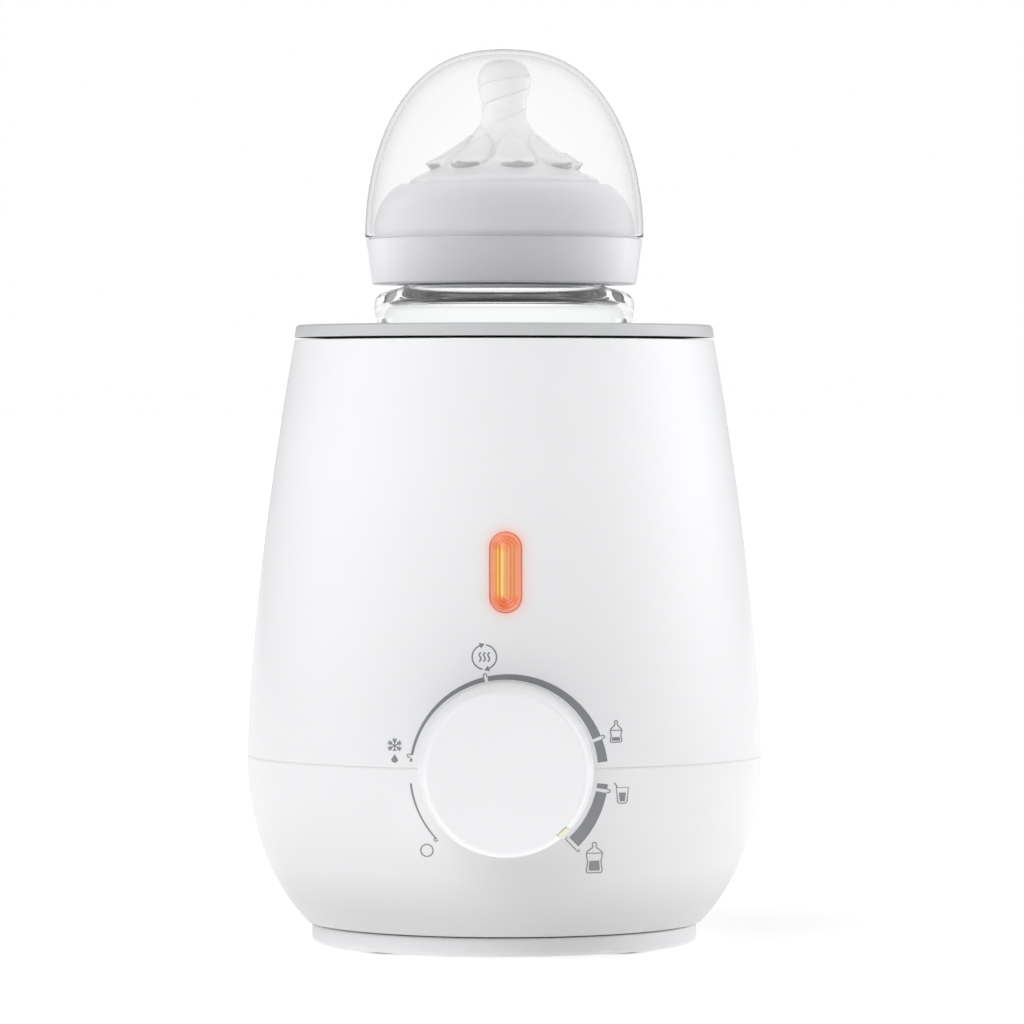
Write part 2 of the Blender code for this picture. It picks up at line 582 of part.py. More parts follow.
def build():
    clear_scene()
    white = material("white_plastic", (0.86, 0.86, 0.86), 0.32)
    base = material("base_plastic", (0.80, 0.80, 0.80), 0.45)
    grey = material("grey_trim", (0.60, 0.61, 0.62), 0.4)
    knob_look = material("knob_plastic", (0.84, 0.84, 0.84), 0.35)
    cream = material("pointer_cream", (0.86, 0.80, 0.66), 0.4)
    well_look = material("well_plastic", (0.82, 0.82, 0.83), 0.4)
    alu = material("aluminium", (0.75, 0.76, 0.77), 0.35, 1.0)
    steel = material("steel", (0.62, 0.62, 0.64), 0.3, 1.0)
    rubber = material("rubber", (0.10, 0.10, 0.11), 0.8)
    ceramic = material("ceramic", (0.78, 0.76, 0.70), 0.6)
    mica = material("mica", (0.55, 0.42, 0.25), 0.5)
    board = material("moulded_black", (0.08, 0.08, 0.09), 0.5)
    orange = material("lens_orange", (0.90, 0.22, 0.06), 0.3)
    lamp_glass = material("lamp_glass", (0.95, 0.75, 0.55), 0.1, alpha=0.6)
    lead_look = material("lead_insulation", (0.75, 0.75, 0.72), 0.6)
    glass = material("bottle_glass", (0.93, 0.95, 0.96), 0.05, alpha=0.35)
    silicone = material("teat_silicone", (0.90, 0.89, 0.87), 0.4, alpha=0.7)
    ring_look = material("ring_plastic", (0.80, 0.79, 0.84), 0.35)
    clear = material("dome_plastic", (0.94, 0.94, 0.95), 0.1, alpha=0.35)

    make_upper_housing(white)
    make_lower_housing(white)
    make_base_plate(base)
    make_feet(rubber)
    make_screws(steel)
    make_top_ring(grey)
    make_well(well_look)
    make_heater(alu, rubber, ceramic, mica, steel)
    make_cutoff(board)
    make_thermostat(board, steel)
    make_knob(knob_look, cream, steel)
    make_lens(orange)
    make_lamp(lamp_glass, board)
    make_power_inlet(board, base, base)
    make_leads(lead_look)
    make_bottle(glass)
    make_teat(silicone)
    make_screw_ring(ring_look)
    make_dome(clear)


build()
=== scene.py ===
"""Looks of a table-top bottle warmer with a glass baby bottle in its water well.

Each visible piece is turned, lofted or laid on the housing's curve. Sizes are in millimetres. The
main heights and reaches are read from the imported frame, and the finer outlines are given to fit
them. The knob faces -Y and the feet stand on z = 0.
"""

import math

import bmesh
import bpy
from mathutils import Matrix, Vector


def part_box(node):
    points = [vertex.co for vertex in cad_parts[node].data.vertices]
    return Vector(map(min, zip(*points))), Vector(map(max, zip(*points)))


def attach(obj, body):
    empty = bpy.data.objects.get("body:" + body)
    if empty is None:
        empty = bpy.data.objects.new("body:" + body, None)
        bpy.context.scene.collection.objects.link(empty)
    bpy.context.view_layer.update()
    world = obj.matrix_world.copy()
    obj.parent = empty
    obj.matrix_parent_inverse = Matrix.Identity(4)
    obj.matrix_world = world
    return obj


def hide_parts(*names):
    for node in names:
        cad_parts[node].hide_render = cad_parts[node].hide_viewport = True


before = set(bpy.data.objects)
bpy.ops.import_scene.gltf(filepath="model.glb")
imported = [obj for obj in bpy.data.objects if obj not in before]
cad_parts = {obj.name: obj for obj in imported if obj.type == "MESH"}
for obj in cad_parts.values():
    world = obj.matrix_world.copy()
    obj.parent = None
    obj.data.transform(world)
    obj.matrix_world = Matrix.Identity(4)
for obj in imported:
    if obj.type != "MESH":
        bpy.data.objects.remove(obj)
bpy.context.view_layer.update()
MM = 0.001
FINE = 160  # segments round a turned piece
SHARP_DEG = 32  # edges sharper than this stay crisp


def top(node):
    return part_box(node)[1].z / MM


def foot(node):
    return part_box(node)[0].z / MM


def reach(node):
    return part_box(node)[1].x / MM


# Driving sizes
BODY_R = reach("upper_housing")
BODY_TOP_R = 53.0
BODY_TOP_Z = top("upper_housing")
SEAM_GAP = foot("upper_housing") - top("lower_housing")
SEAM_Z = foot("upper_housing") - SEAM_GAP / 2
SIDE_POWER = 1.54
BELLY_A, BELLY_B = 36.0, 51.5
BELLY_LOW_Z = foot("lower_housing")
WALL = 2.4
RIM_R = reach("top_ring")
RIM_TOP_Z = top("top_ring")
RIM_LOW_Z = BODY_TOP_Z + 0.3
WELL_R = 39.5
PLATE_TOP_Z = top("heating_plate")
PLINTH_R = reach("base_plate")
PLINTH_TOP_Z = top("base_plate")
UNDERSIDE_Z = foot("base_plate")
KNOB_Z = (top("knob") + foot("knob")) / 2
KNOB_FRONT = -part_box("knob")[0].y / MM
KNOB_REAR = -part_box("knob")[1].y / MM
KNOB_FACE_R = 19.9
POCKET_R = 21.15
POCKET_DEPTH_Y = 61.0
POINTER_DEG = -46.0
LENS_Z = 95.4
LENS_HALF_W, LENS_HALF_H = 3.85, 9.8
TOWER_DEG, TOWER_R, FOOT_R = (45, 135, 225, 315), 46.0, 39.0
BASE_SCREW_DEG, BASE_SCREW_R = (90, 210, 330), 36.0
DIAL_R = 23.45
DIAL_X, DIAL_Z = 0.25, KNOB_Z - 0.95
SCALE_START, SCALE_END = 223.4, POINTER_DEG
MARKS_DEG = (170.0, 102.5, 20.4, -10.4)
BOTTLE_FOOT_Z = foot("glass_bottle")
MOUTH_Z = top("glass_bottle")
RING_FOOT_Z = foot("screw_ring")
RING_TOP_Z = top("screw_ring")
RING_R = reach("screw_ring")
DOME_FOOT_Z = foot("dome_cap")
DOME_TOP_Z = top("dome_cap")
DOME_R = reach("dome_cap")
DOME_WALL = 1.1
RING_LEDGE_Z = DOME_FOOT_Z - 0.3
PETAL_TOP, PETAL_LOW = 203.8, 195.4


# Outlines

def side_r(z):
    share = max(0.0, z - SEAM_Z) / (BODY_TOP_Z - SEAM_Z)
    return BODY_R - (BODY_R - BODY_TOP_R) * share**SIDE_POWER


def belly_r(z):
    return BODY_R - BELLY_A * (1 - math.sqrt(1 - ((SEAM_Z - z) / BELLY_B) ** 2))


def body_r(z):
    return side_r(z) if z >= SEAM_Z else belly_r(z)


def spread(low, high, steps):
    return [low + (high - low) * i / steps for i in range(steps + 1)]


def arc(cx, cy, radius, start, end, steps):
    turns = [math.radians(a) for a in spread(start, end, steps)]
    return [(cx + radius * math.cos(a), cy + radius * math.sin(a)) for a in turns]


def around(radius, degrees):
    return arc(0, 0, radius, degrees, degrees, 1)[0]


def fillet(corners, steps=4):
    """A closed outline whose corners are (x, y) or, to be rounded, (x, y, radius)."""
    found = []
    for i, corner in enumerate(corners):
        here = Vector(corner[:2])
        if len(corner) == 2:
            found.append(tuple(here))
            continue
        back = (Vector(corners[i - 1][:2]) - here).normalized()
        ahead = (Vector(corners[(i + 1) % len(corners)][:2]) - here).normalized()
        half = back.angle(ahead) / 2
        centre = here + (back + ahead).normalized() * corner[2] / math.sin(half)
        spoke = here + back * corner[2] / math.tan(half) - centre
        last = here + ahead * corner[2] / math.tan(half) - centre
        turn = math.atan2(spoke.x * last.y - spoke.y * last.x, spoke.dot(last))
        for angle in spread(0, turn, steps):
            found.append(tuple(centre + Matrix.Rotation(angle, 2) @ spoke))
    return found


def smooth(points, per_leg=6):
    """Points along a Catmull-Rom curve through these, in any dimension."""
    points = [Vector(p) for p in points]
    ends = [points[0] * 2 - points[1]] + points + [points[-1] * 2 - points[-2]]
    found = []
    for a, b, c, d in zip(ends, ends[1:], ends[2:], ends[3:]):
        for i in range(per_leg):
            t = i / per_leg
            cubic = (3 * b - a - 3 * c + d) * t**3
            found.append(0.5 * (2 * b + (c - a) * t + (2 * a - 5 * b + 4 * c - d) * t**2 + cubic))
    return [tuple(p) for p in found + [points[-1]]]


# Mesh tools

def finish_mesh(name, bm, look=None, body=None, replaced=(), angle=SHARP_DEG):
    """Makes a piece of the mesh in metres. Without a body it is a tool or part of the studio."""
    bmesh.ops.recalc_face_normals(bm, faces=bm.faces)
    bmesh.ops.scale(bm, vec=(MM, MM, MM), verts=bm.verts)
    mesh = bpy.data.meshes.new(name)
    bm.to_mesh(mesh)
    bm.free()
    mesh.shade_smooth()
    mesh.set_sharp_from_angle(angle=math.radians(angle))
    mesh.materials.append(look)
    obj = bpy.data.objects.new(name, mesh)
    bpy.context.scene.collection.objects.link(obj)
    if body:
        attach(obj, body)
    if replaced:
        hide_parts(*replaced)
    return obj


def turned_into(bm, profile, segments=FINE, place=None, shape=None):
    """Turns a closed (radius, height) outline about Z. shape(point) may move each point."""
    place = place or Matrix.Identity(4)
    rings = []
    for radius, height in profile:
        count = 1 if radius < 1e-6 else segments
        ring = []
        for i in range(count):
            turn = 2 * math.pi * i / segments
            point = Vector((radius * math.cos(turn), radius * math.sin(turn), height))
            ring.append(bm.verts.new(place @ (shape(point) if shape else point)))
        rings.append(ring)
    for near, far in zip(rings, rings[1:] + rings[:1]):
        if len(near) == len(far) == 1:
            continue
        for i in range(segments):
            j = (i + 1) % segments
            corners = [ring[k % len(ring)] for ring, k in ((near, i), (near, j), (far, j), (far, i))]
            bm.faces.new(list(dict.fromkeys(corners)))


def turned(name, profile, look, body, replaced=(), segments=FINE, place=None, shape=None,
           angle=SHARP_DEG):
    bm = bmesh.new()
    turned_into(bm, profile, segments, place, shape)
    return finish_mesh(name, bm, look, body, replaced, angle)


def lofted_into(bm, loops):
    """Joins loops of equally many points, and caps the first and the last."""
    rings = [[bm.verts.new(p) for p in loop] for loop in loops]
    for near, far in zip(rings, rings[1:]):
        for i in range(len(near)):
            j = (i + 1) % len(near)
            bm.faces.new([near[i], near[j], far[j], far[i]])
    bm.faces.new(rings[0][::-1])
    bm.faces.new(rings[-1])


def prism_into(bm, outline, depth, place):
    """Extrudes a closed (x, y) outline along local +Z, as one closed body."""
    lofted_into(bm, [[place @ Vector((x, y, z)) for x, y in outline] for z in (0, depth)])


def along_y(z):
    """At this height, with local +Z pointing out of the front, to -Y."""
    return Matrix.Translation((0, 0, z)) @ Matrix.Rotation(math.radians(90), 4, "X")


def cutter(bm, name):
    tool = finish_mesh(name, bm)
    return tool


def carve(obj, tools, body_surface=False):
    """Applies (operation, tool) Booleans and removes the tools."""
    for operation, tool in tools:
        mod = obj.modifiers.new(operation, "BOOLEAN")
        mod.operation = operation
        mod.object = tool
        mod.solver = "MANIFOLD"
    graph = bpy.context.evaluated_depsgraph_get()
    made = bpy.data.meshes.new_from_object(obj.evaluated_get(graph))
    obj.modifiers.clear()
    obj.data = made
    for _, tool in tools:
        bpy.data.objects.remove(tool)
    made.shade_smooth()
    made.set_sharp_from_angle(angle=math.radians(SHARP_DEG))
    if body_surface:
        set_body_normals(made)
    return obj


def set_body_normals(mesh):
    """Gives the housing's outer faces the true normals of its curve, where they still lie on it."""
    normals = [Vector(n.vector) for n in mesh.corner_normals]
    for face in mesh.polygons:
        for loop in face.loop_indices:
            point = mesh.vertices[mesh.loops[loop].vertex_index].co / MM
            radius = math.hypot(point.x, point.y)
            height = min(max(point.z, BELLY_LOW_Z + 0.3), BODY_TOP_Z - 0.3)
            slope = (body_r(height + 0.2) - body_r(height - 0.2)) / 0.4
            true = Vector((point.x / radius, point.y / radius, -slope)).normalized()
            if abs(radius - body_r(height)) < 0.04 and face.normal.dot(true) > 0.96:
                normals[loop] = true
    mesh.normals_split_custom_set(normals)


# Materials

class Graph:
    """A short way to write a material's nodes."""

    def __init__(self, name):
        self.material = bpy.data.materials.new(name)
        self.material.use_nodes = True
        self.nodes = self.material.node_tree.nodes
        self.links = self.material.node_tree.links
        self.shader = self.nodes["Principled BSDF"]

    def add(self, kind, **inputs):
        node = self.nodes.new(kind)
        for key, value in inputs.items():
            if hasattr(node, key) and key.islower():
                setattr(node, key, value)
            else:
                self.put(value, node.inputs[key.replace("_", " ")])
        return node

    def put(self, value, socket):
        if isinstance(value, bpy.types.NodeSocket):
            self.links.new(value, socket)
        else:
            socket.default_value = value

    def set(self, **inputs):
        for key, value in inputs.items():
            self.put(value, self.shader.inputs[key.replace("_", " ")])

    def where(self):
        return self.add("ShaderNodeTexCoord").outputs["Object"]

    def noise(self, scale, detail=3.0, stretch=None):
        vector = self.where()
        if stretch:
            vector = self.add("ShaderNodeMapping", Vector=vector, Scale=stretch).outputs[0]
        return self.add("ShaderNodeTexNoise", Vector=vector, Scale=scale, Detail=detail).outputs["Fac"]

    def ramp(self, fac, stops):
        node = self.add("ShaderNodeValToRGB", Fac=fac)
        while len(node.color_ramp.elements) < len(stops):
            node.color_ramp.elements.new(0.5)
        for element, (place, color) in zip(node.color_ramp.elements, stops):
            element.position = place
            element.color = (*color, 1.0) if len(color) == 3 else color
        return node.outputs["Color"]

    def span(self, value, low, high, to_low, to_high):
        node = self.add("ShaderNodeMapRange", Value=value, From_Min=low, From_Max=high,
                        To_Min=to_low, To_Max=to_high)
        return node.outputs["Result"]

    def math(self, operation, a, b=0.0):
        node = self.add("ShaderNodeMath", operation=operation)
        self.put(a, node.inputs[0])
        self.put(b, node.inputs[1])
        return node.outputs[0]

    def bump(self, height, strength, distance=0.0002, under=None):
        node = self.add("ShaderNodeBump", Height=height, Strength=strength, Distance=distance)
        if under:
            self.put(under, node.inputs["Normal"])
        return node.outputs["Normal"]


def tint(color, factor):
    return tuple(min(1.0, c * factor) for c in color)


def plastic(name, color, rough, grain=2600.0, depth=0.05, coat=0.0, mottle=0.015):
    """Moulded plastic: a faint mottle, patches of wear in the gloss, and a fine moulded grain."""
    g = Graph(name)
    patches = [(0.2, tint(color, 1 - mottle)), (0.8, tint(color, 1 + mottle))]
    g.set(Base_Color=g.ramp(g.noise(30, 2), patches))
    g.set(Roughness=g.span(g.noise(45, 2), 0.1, 0.9, rough - 0.05, rough + 0.05))
    wave = g.bump(g.noise(50, 1), depth * 0.3, 0.0003)
    g.set(Normal=g.bump(g.noise(grain, 1), depth, 0.0001, wave))
    g.set(Coat_Weight=coat, Coat_Roughness=0.08)
    return g


def rubber(name, color):
    g = plastic(name, color, 0.78, 3200, 0.25, mottle=0.12)
    g.set(Specular_IOR_Level=0.35)
    return g.material


def metal(name, color, rough, stretch):
    """Drawn or plated metal with fine scratches along one direction."""
    g = Graph(name)
    lines = g.noise(900, 4, stretch)
    shine = g.ramp(lines, [(0.3, tint(color, 0.86)), (0.7, tint(color, 1.06))])
    g.set(Base_Color=shine, Metallic=1.0, Normal=g.bump(lines, 0.2))
    g.set(Roughness=g.span(lines, 0.3, 0.7, rough - 0.07, rough + 0.09))
    return g.material


def turned_metal(name, color):
    """Faced on a lathe: fine rings about the body axis."""
    g = Graph(name)
    parts = g.add("ShaderNodeSeparateXYZ", Vector=g.where())
    radius = g.math("SQRT", squares(g, parts.outputs[0], parts.outputs[1]))
    rings = g.math("SINE", g.math("MULTIPLY", radius, 9000.0))
    stain = g.noise(45, 5)
    shine = g.ramp(stain, [(0.3, tint(color, 0.85)), (0.7, tint(color, 1.05))])
    g.set(Base_Color=shine, Metallic=1.0, Normal=g.bump(rings, 0.25, 0.00005))
    g.set(Roughness=g.span(stain, 0.3, 0.7, 0.24, 0.42))
    return g.material


EDGE_SHARES = ((0.0, 0.0), (0.5, 0.05), (0.74, 0.30), (0.85, 0.65), (0.93, 0.85), (1.0, 1.0))


def glass(name, color, ior, edge_shade, edge_light):
    """Clear wall with a faint flow in it. Seen edge on it is painted grey and glows a little."""
    g = Graph(name)
    facing = g.add("ShaderNodeLayerWeight", Blend=0.5).outputs["Facing"]
    flow = g.ramp(g.noise(25, 3), [(0.3, tint(color, 0.985)), (0.7, tint(color, 0.992))])
    rim = g.ramp(facing, [(place, (1 - (1 - edge_shade) * share,) * 3)
                          for place, share in EDGE_SHARES])
    lift = g.ramp(facing, [(place, (share,) * 3) for place, share in EDGE_SHARES])
    g.set(Transmission_Weight=1.0, IOR=ior, Base_Color=mixed(g, 1.0, flow, rim, "MULTIPLY"))
    g.set(Emission_Color=lift, Emission_Strength=edge_light)
    g.set(Roughness=g.span(g.noise(70, 3), 0.2, 0.8, 0.0, 0.02))
    return g.material


def silicone(name):
    """Milky silicone with a faint painted glow, and painted shade along its walls and under the petals'
    ends.
    """
    g = Graph(name)
    facing = g.add("ShaderNodeLayerWeight", Blend=0.4).outputs["Facing"]
    # Painted shade: the walls turn grey where they are seen edge on.
    rim = g.ramp(facing, [(0.0, (1.0, 1.0, 1.0)), (0.45, (0.97, 0.97, 0.975)),
                          (0.8, (0.84, 0.84, 0.85)), (1.0, (0.74, 0.74, 0.76))])
    cloud = g.ramp(g.noise(110, 3), [(0.3, (0.98, 0.98, 0.98)), (0.7, (1.0, 1.0, 1.0))])
    # The milky tone, times the painted edge shade.
    milk = mixed(g, 1.0, rim, cloud, "MULTIPLY")
    normal = g.add("ShaderNodeSeparateXYZ", Vector=g.add("ShaderNodeNewGeometry").outputs["Normal"])
    # Painted shade: faces turned down, below the petals' top, are painted grey.
    downward_painted_shade = g.span(normal.outputs[2], -0.35, 0.0, 0.6, 0.0)
    height = g.add("ShaderNodeSeparateXYZ", Vector=g.where()).outputs[2]
    under = g.math("MULTIPLY", downward_painted_shade, g.math("LESS_THAN", height, (PETAL_TOP + 2) * MM))
    # Painted light: everything but those faces glows faintly.
    glow = g.math("MULTIPLY", g.math("SUBTRACT", 1.0, under), 0.06)
    g.set(Base_Color=mixed(g, under, milk, (0.42, 0.42, 0.43)), Transmission_Weight=0.22, IOR=1.41)
    g.set(Emission_Color=(1.0, 1.0, 1.0, 1.0), Emission_Strength=glow)
    g.set(Roughness=g.span(g.noise(160, 3), 0.3, 0.7, 0.14, 0.24))
    g.set(Normal=g.bump(g.noise(1200, 2), 0.03))
    return g.material


def squares(g, a, b):
    return g.math("ADD", g.math("MULTIPLY", a, a), g.math("MULTIPLY", b, b))


def off_pill(g):
    """How far a point lies outside the lens outline, in metres: it is less than 0 inside.

    The point's three coordinates and its distance above or below the lens's middle come with it."""
    parts = g.add("ShaderNodeSeparateXYZ", Vector=g.where()).outputs
    up = g.math("ABSOLUTE", g.math("SUBTRACT", parts[2], LENS_Z * MM))
    past = g.math("MAXIMUM", g.math("SUBTRACT", up, (LENS_HALF_H - LENS_HALF_W) * MM), 0.0)
    radius = g.math("SQRT", squares(g, past, parts[0]))
    return g.math("SUBTRACT", radius, LENS_HALF_W * MM), parts, up


def mixed(g, factor, first, second, blend="MIX"):
    node = g.add("ShaderNodeMix", data_type="RGBA", blend_type=blend)
    g.put(factor, node.inputs["Factor"])
    for socket, value in ((node.inputs[6], first), (node.inputs[7], second)):
        g.put(value if isinstance(value, bpy.types.NodeSocket) else (*value, 1.0), socket)
    return node.outputs[2]


# Painted shading: the share of the housing's white left at each height, the middle and reach of
# the shade below the knob, and how far the lens's light spreads.
SHADE_TOP_Z = 120.0
FOOT_SHADE = ((5.0, 0.65), (11.0, 0.68), (21.0, 0.83), (34.0, 0.88), (47.0, 0.90), (79.0, 0.95),
              (120.0, 1.0))
KNOB_SHADE_X, KNOB_SHADE_Z = 5.0, KNOB_Z - 25.0
KNOB_SHADE_WIDE, KNOB_SHADE_TALL = 17.0, 13.0
LENS_HALO = 1.0


def knob_shade(g, parts):
    """A soft oval below the knob."""
    aside = g.math("DIVIDE", g.math("SUBTRACT", parts[0], KNOB_SHADE_X * MM), KNOB_SHADE_WIDE * MM)
    below = g.math("DIVIDE", g.math("SUBTRACT", parts[2], KNOB_SHADE_Z * MM), KNOB_SHADE_TALL * MM)
    return g.math("EXPONENT", g.math("MULTIPLY", squares(g, aside, below), -1.0))


def housing_white(name):
    """White gloss housing. The shade on it and the lens's light close round it are painted in."""
    g = plastic(name, (0.90, 0.90, 0.905), 0.345, 5200, 0.015, coat=0.15, mottle=0.002)
    away, parts, _ = off_pill(g)
    front = g.math("LESS_THAN", parts[1], 0.0)
    halo = g.math("EXPONENT", g.math("MULTIPLY", away, -1 / (LENS_HALO * MM)))
    halo = g.math("MULTIPLY", g.math("MINIMUM", halo, 1.0), front)
    shade = g.math("MULTIPLY", knob_shade(g, parts), front)
    height = g.span(parts[2], 0.0, SHADE_TOP_Z * MM, 0.0, 1.0)
    foot_shade = g.ramp(height, [(z / SHADE_TOP_Z, (share,) * 3) for z, share in FOOT_SHADE])
    white = g.shader.inputs["Base Color"].links[0].from_socket
    white = mixed(g, 1.0, white, foot_shade, "MULTIPLY")
    white = mixed(g, g.math("MULTIPLY", shade, 0.6), white, (0.55, 0.535, 0.53))
    g.set(Base_Color=mixed(g, g.math("MULTIPLY", halo, 0.9), white, (0.88, 0.50, 0.42)))
    g.set(Emission_Color=(1.0, 0.35, 0.22, 1.0), Emission_Strength=g.math("MULTIPLY", halo, 0.10))
    return g.material


LENS_STREAKS = (  # colours across the lens, from its left edge (0) to its right edge (1)
    (0.0, (0.92, 0.35, 0.24)), (0.09, (0.88, 0.29, 0.16)), (0.15, (0.87, 0.42, 0.13)),
    (0.20, (0.76, 0.25, 0.06)), (0.245, (0.97, 0.62, 0.16)), (0.29, (0.76, 0.29, 0.06)),
    (0.33, (0.80, 0.33, 0.07)), (0.375, (1.0, 0.73, 0.25)), (0.41, (1.0, 0.70, 0.22)),
    (0.44, (0.85, 0.40, 0.13)), (0.50, (0.87, 0.40, 0.18)), (0.55, (0.84, 0.33, 0.15)),
    (0.60, (0.87, 0.42, 0.18)), (0.65, (0.76, 0.22, 0.07)), (0.71, (0.88, 0.37, 0.17)),
    (0.76, (0.76, 0.23, 0.08)), (0.84, (0.90, 0.37, 0.18)), (0.90, (0.86, 0.29, 0.14)),
    (1.0, (0.92, 0.35, 0.24)),
)


def lens_glow(name):
    """Lit lens: orange field, lighter pink border, bright lamp streaks left of the middle."""
    g = Graph(name)
    away, parts, up = off_pill(g)
    across = g.span(parts[0], -LENS_HALF_W * MM, LENS_HALF_W * MM, 0.0, 1.0)
    field = [(0.3, (0.80, 0.16, 0.055)), (0.7, (0.87, 0.24, 0.09))]
    plain = g.ramp(g.noise(300, 2, (1.0, 1.0, 0.3)), field)
    streak_end = g.span(g.noise(260, 2), 0.3, 0.7, 4.3 * MM, 5.6 * MM)
    lit = g.span(g.math("SUBTRACT", up, streak_end), 0.0, 2.0 * MM, 1.0, 0.0)
    color = mixed(g, lit, plain, g.ramp(across, LENS_STREAKS))
    color = mixed(g, g.span(away, -1.1 * MM, -0.5 * MM, 0.0, 0.7), color, (0.92, 0.36, 0.25))
    color = mixed(g, g.span(away, -0.30 * MM, -0.06 * MM, 0.0, 0.75), color, (0.42, 0.17, 0.13))
    dim = mixed(g, 1.0, color, (0.35, 0.35, 0.35), "MULTIPLY")
    g.set(Base_Color=dim, Emission_Color=color, Emission_Strength=0.66)
    g.set(Roughness=g.span(g.noise(300, 3), 0.3, 0.7, 0.18, 0.28))
    g.set(Coat_Weight=0.3, Coat_Roughness=0.1, Normal=g.bump(g.noise(900, 2), 0.08))
    return g.material


def cap_white(name):
    """Milky ring plastic with a pale sheen, partly painted. Painted shade greys the band below the
    shoulder.
    """
    g = plastic(name, (0.70, 0.697, 0.725), 0.36, 4200, 0.02, coat=0.1, mottle=0.004)
    height = g.add("ShaderNodeSeparateXYZ", Vector=g.where()).outputs[2]
    band = g.math("LESS_THAN", height, (RING_LEDGE_Z + 0.05) * MM)
    shoulder = g.shader.inputs["Base Color"].links[0].from_socket
    # Painted shade: the band below the ledge is greyer than the shoulder.
    body = mixed(g, band, shoulder, (0.53, 0.527, 0.56))
    # Painted sheen: the colour pales where the ring is seen edge on.
    facing = g.add("ShaderNodeLayerWeight", Blend=0.5).outputs["Facing"]
    shares = [(0.0, 0.0), (0.12, 0.15), (0.30, 0.45), (0.55, 0.9)]
    painted_sheen = g.ramp(facing, [(place, (share,) * 3) for place, share in shares])
    g.set(Base_Color=mixed(g, painted_sheen, body, (0.92, 0.92, 0.95)))
    g.set(Sheen_Weight=0.6, Sheen_Roughness=0.4)
    return g.material


WHITE = housing_white("housing_white")
# Set darker than the housing's white, as painted shade on the base plate low at the foot.
SHADED_BASE_WHITE = plastic("shaded_base_white", (0.76, 0.76, 0.765), 0.42, 2000, 0.14).material
RING_GREY = plastic("rim_grey", (0.60, 0.605, 0.612), 0.345, 2400, 0.10).material
KNOB_WHITE = plastic("knob_white", (0.89, 0.89, 0.895), 0.36, 2600, 0.06, coat=0.05).material
CREAM = plastic("pointer_cream", (0.86, 0.80, 0.66), 0.42, 2600, 0.08).material
WELL_WHITE = plastic("well_white", (0.85, 0.85, 0.86), 0.345, 1800, 0.08).material
CAP_WHITE = cap_white("ring_white")
INK = plastic("dial_ink", (0.235, 0.24, 0.25), 0.5, 4000, 0.1, mottle=0.05).material
RUBBER = rubber("foot_rubber", (0.055, 0.055, 0.06))
SEAL = rubber("gasket_silicone", (0.35, 0.36, 0.38))
STEEL = metal("zinc_steel", (0.62, 0.62, 0.64), 0.32, (1.0, 1.0, 6.0))
ALU = turned_metal("turned_aluminium", (0.78, 0.785, 0.80))
BLACK = plastic("moulded_black", (0.035, 0.035, 0.04), 0.45, 1600, 0.2, mottle=0.2).material
CERAMIC = plastic("sintered_ceramic", (0.74, 0.71, 0.64), 0.65, 900, 0.3, mottle=0.08).material
MICA = plastic("mica_sheet", (0.50, 0.38, 0.22), 0.4, 500, 0.3, mottle=0.25).material
SLEEVE = plastic("lead_sleeve", (0.78, 0.77, 0.72), 0.55, 1500, 0.2, mottle=0.06).material
LENS = lens_glow("lens_orange")
BOTTLE_GLASS = glass("bottle_glass", (0.985, 0.99, 0.99), 1.07, 0.40, 0.09)
DOME_CLEAR = glass("dome_clear", (1.0, 1.0, 1.0), 1.06, 0.50, 0.02)
TEAT = silicone("teat_silicone")

CARRIED = {
    "well_gasket": SEAL, "ptc_heater": CERAMIC, "heater_insulator": MICA, "heater_clamp": STEEL,
    "thermal_cutoff": BLACK, "thermostat": BLACK, "thermostat_bracket": STEEL, "control_shaft": STEEL,
    "knob_clip": STEEL, "neon_lamp": BOTTLE_GLASS, "lamp_holder": BLACK, "terminal_block": BLACK,
    "cord_clamp": SHADED_BASE_WHITE,
}


def dress_cad_nodes():
    for name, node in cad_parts.items():
        look = CARRIED.get(name, SLEEVE if name.startswith("lead_") else STEEL)
        node.data.materials.clear()
        node.data.materials.append(look)


# Housing

def seat_tools(low, high):
    """Block behind the knob, kept inside the wall, then the knob's pocket and the shaft's hole."""
    front = along_y(KNOB_Z)
    block, keep, pocket, hole = (bmesh.new() for _ in range(4))
    turned_into(block, [(0, 58.6), (23.6, 58.6), (23.6, 60.35), (0, 60.35)], 96, front)
    bmesh.ops.create_cube(keep, size=1.0)
    bmesh.ops.scale(keep, vec=(80, 20, high - low), verts=keep.verts)
    bmesh.ops.translate(keep, vec=(0, -60, (low + high) / 2), verts=keep.verts)
    block = carve(cutter(block, "seat block"), [("INTERSECT", cutter(keep, "seat limit"))])
    mouth = fillet([(0, POCKET_DEPTH_Y), (POCKET_R, POCKET_DEPTH_Y, 0.5), (POCKET_R, 90), (0, 90)])
    turned_into(pocket, mouth, 128, front)
    turned_into(hole, [(0, 50), (4.6, 50), (4.6, 80), (0, 80)], 48, front)
    cuts = [("DIFFERENCE", cutter(pocket, "pocket")), ("DIFFERENCE", cutter(hole, "hole"))]
    return [("UNION", block)] + cuts


def lens_loop(out, grow):
    """The lens outline, grown by this much and pushed out of the housing's slope by that."""
    half, straight = LENS_HALF_W + grow, LENS_HALF_H - LENS_HALF_W
    outline = arc(0, straight, half, 0, 180, 16) + arc(0, -straight, half, 180, 360, 16)
    slope = (side_r(LENS_Z - 5) - side_r(LENS_Z + 5)) / 10
    tilt = Matrix.Rotation(math.radians(90) - math.atan(slope), 4, "X")
    place = Matrix.Translation((0, -side_r(LENS_Z), LENS_Z)) @ tilt
    return [place @ Vector((x, y, out)) for x, y in outline]


def window_tool():
    """Cuts the lens window with a softly flared mouth."""
    bm = bmesh.new()
    flare = ((-6.0, 0.12), (-0.35, 0.12), (-0.12, 0.2), (0.0, 0.36), (0.12, 0.7), (3.0, 2.4))
    lofted_into(bm, [lens_loop(out, grow) for out, grow in flare])
    return ("DIFFERENCE", cutter(bm, "window"))


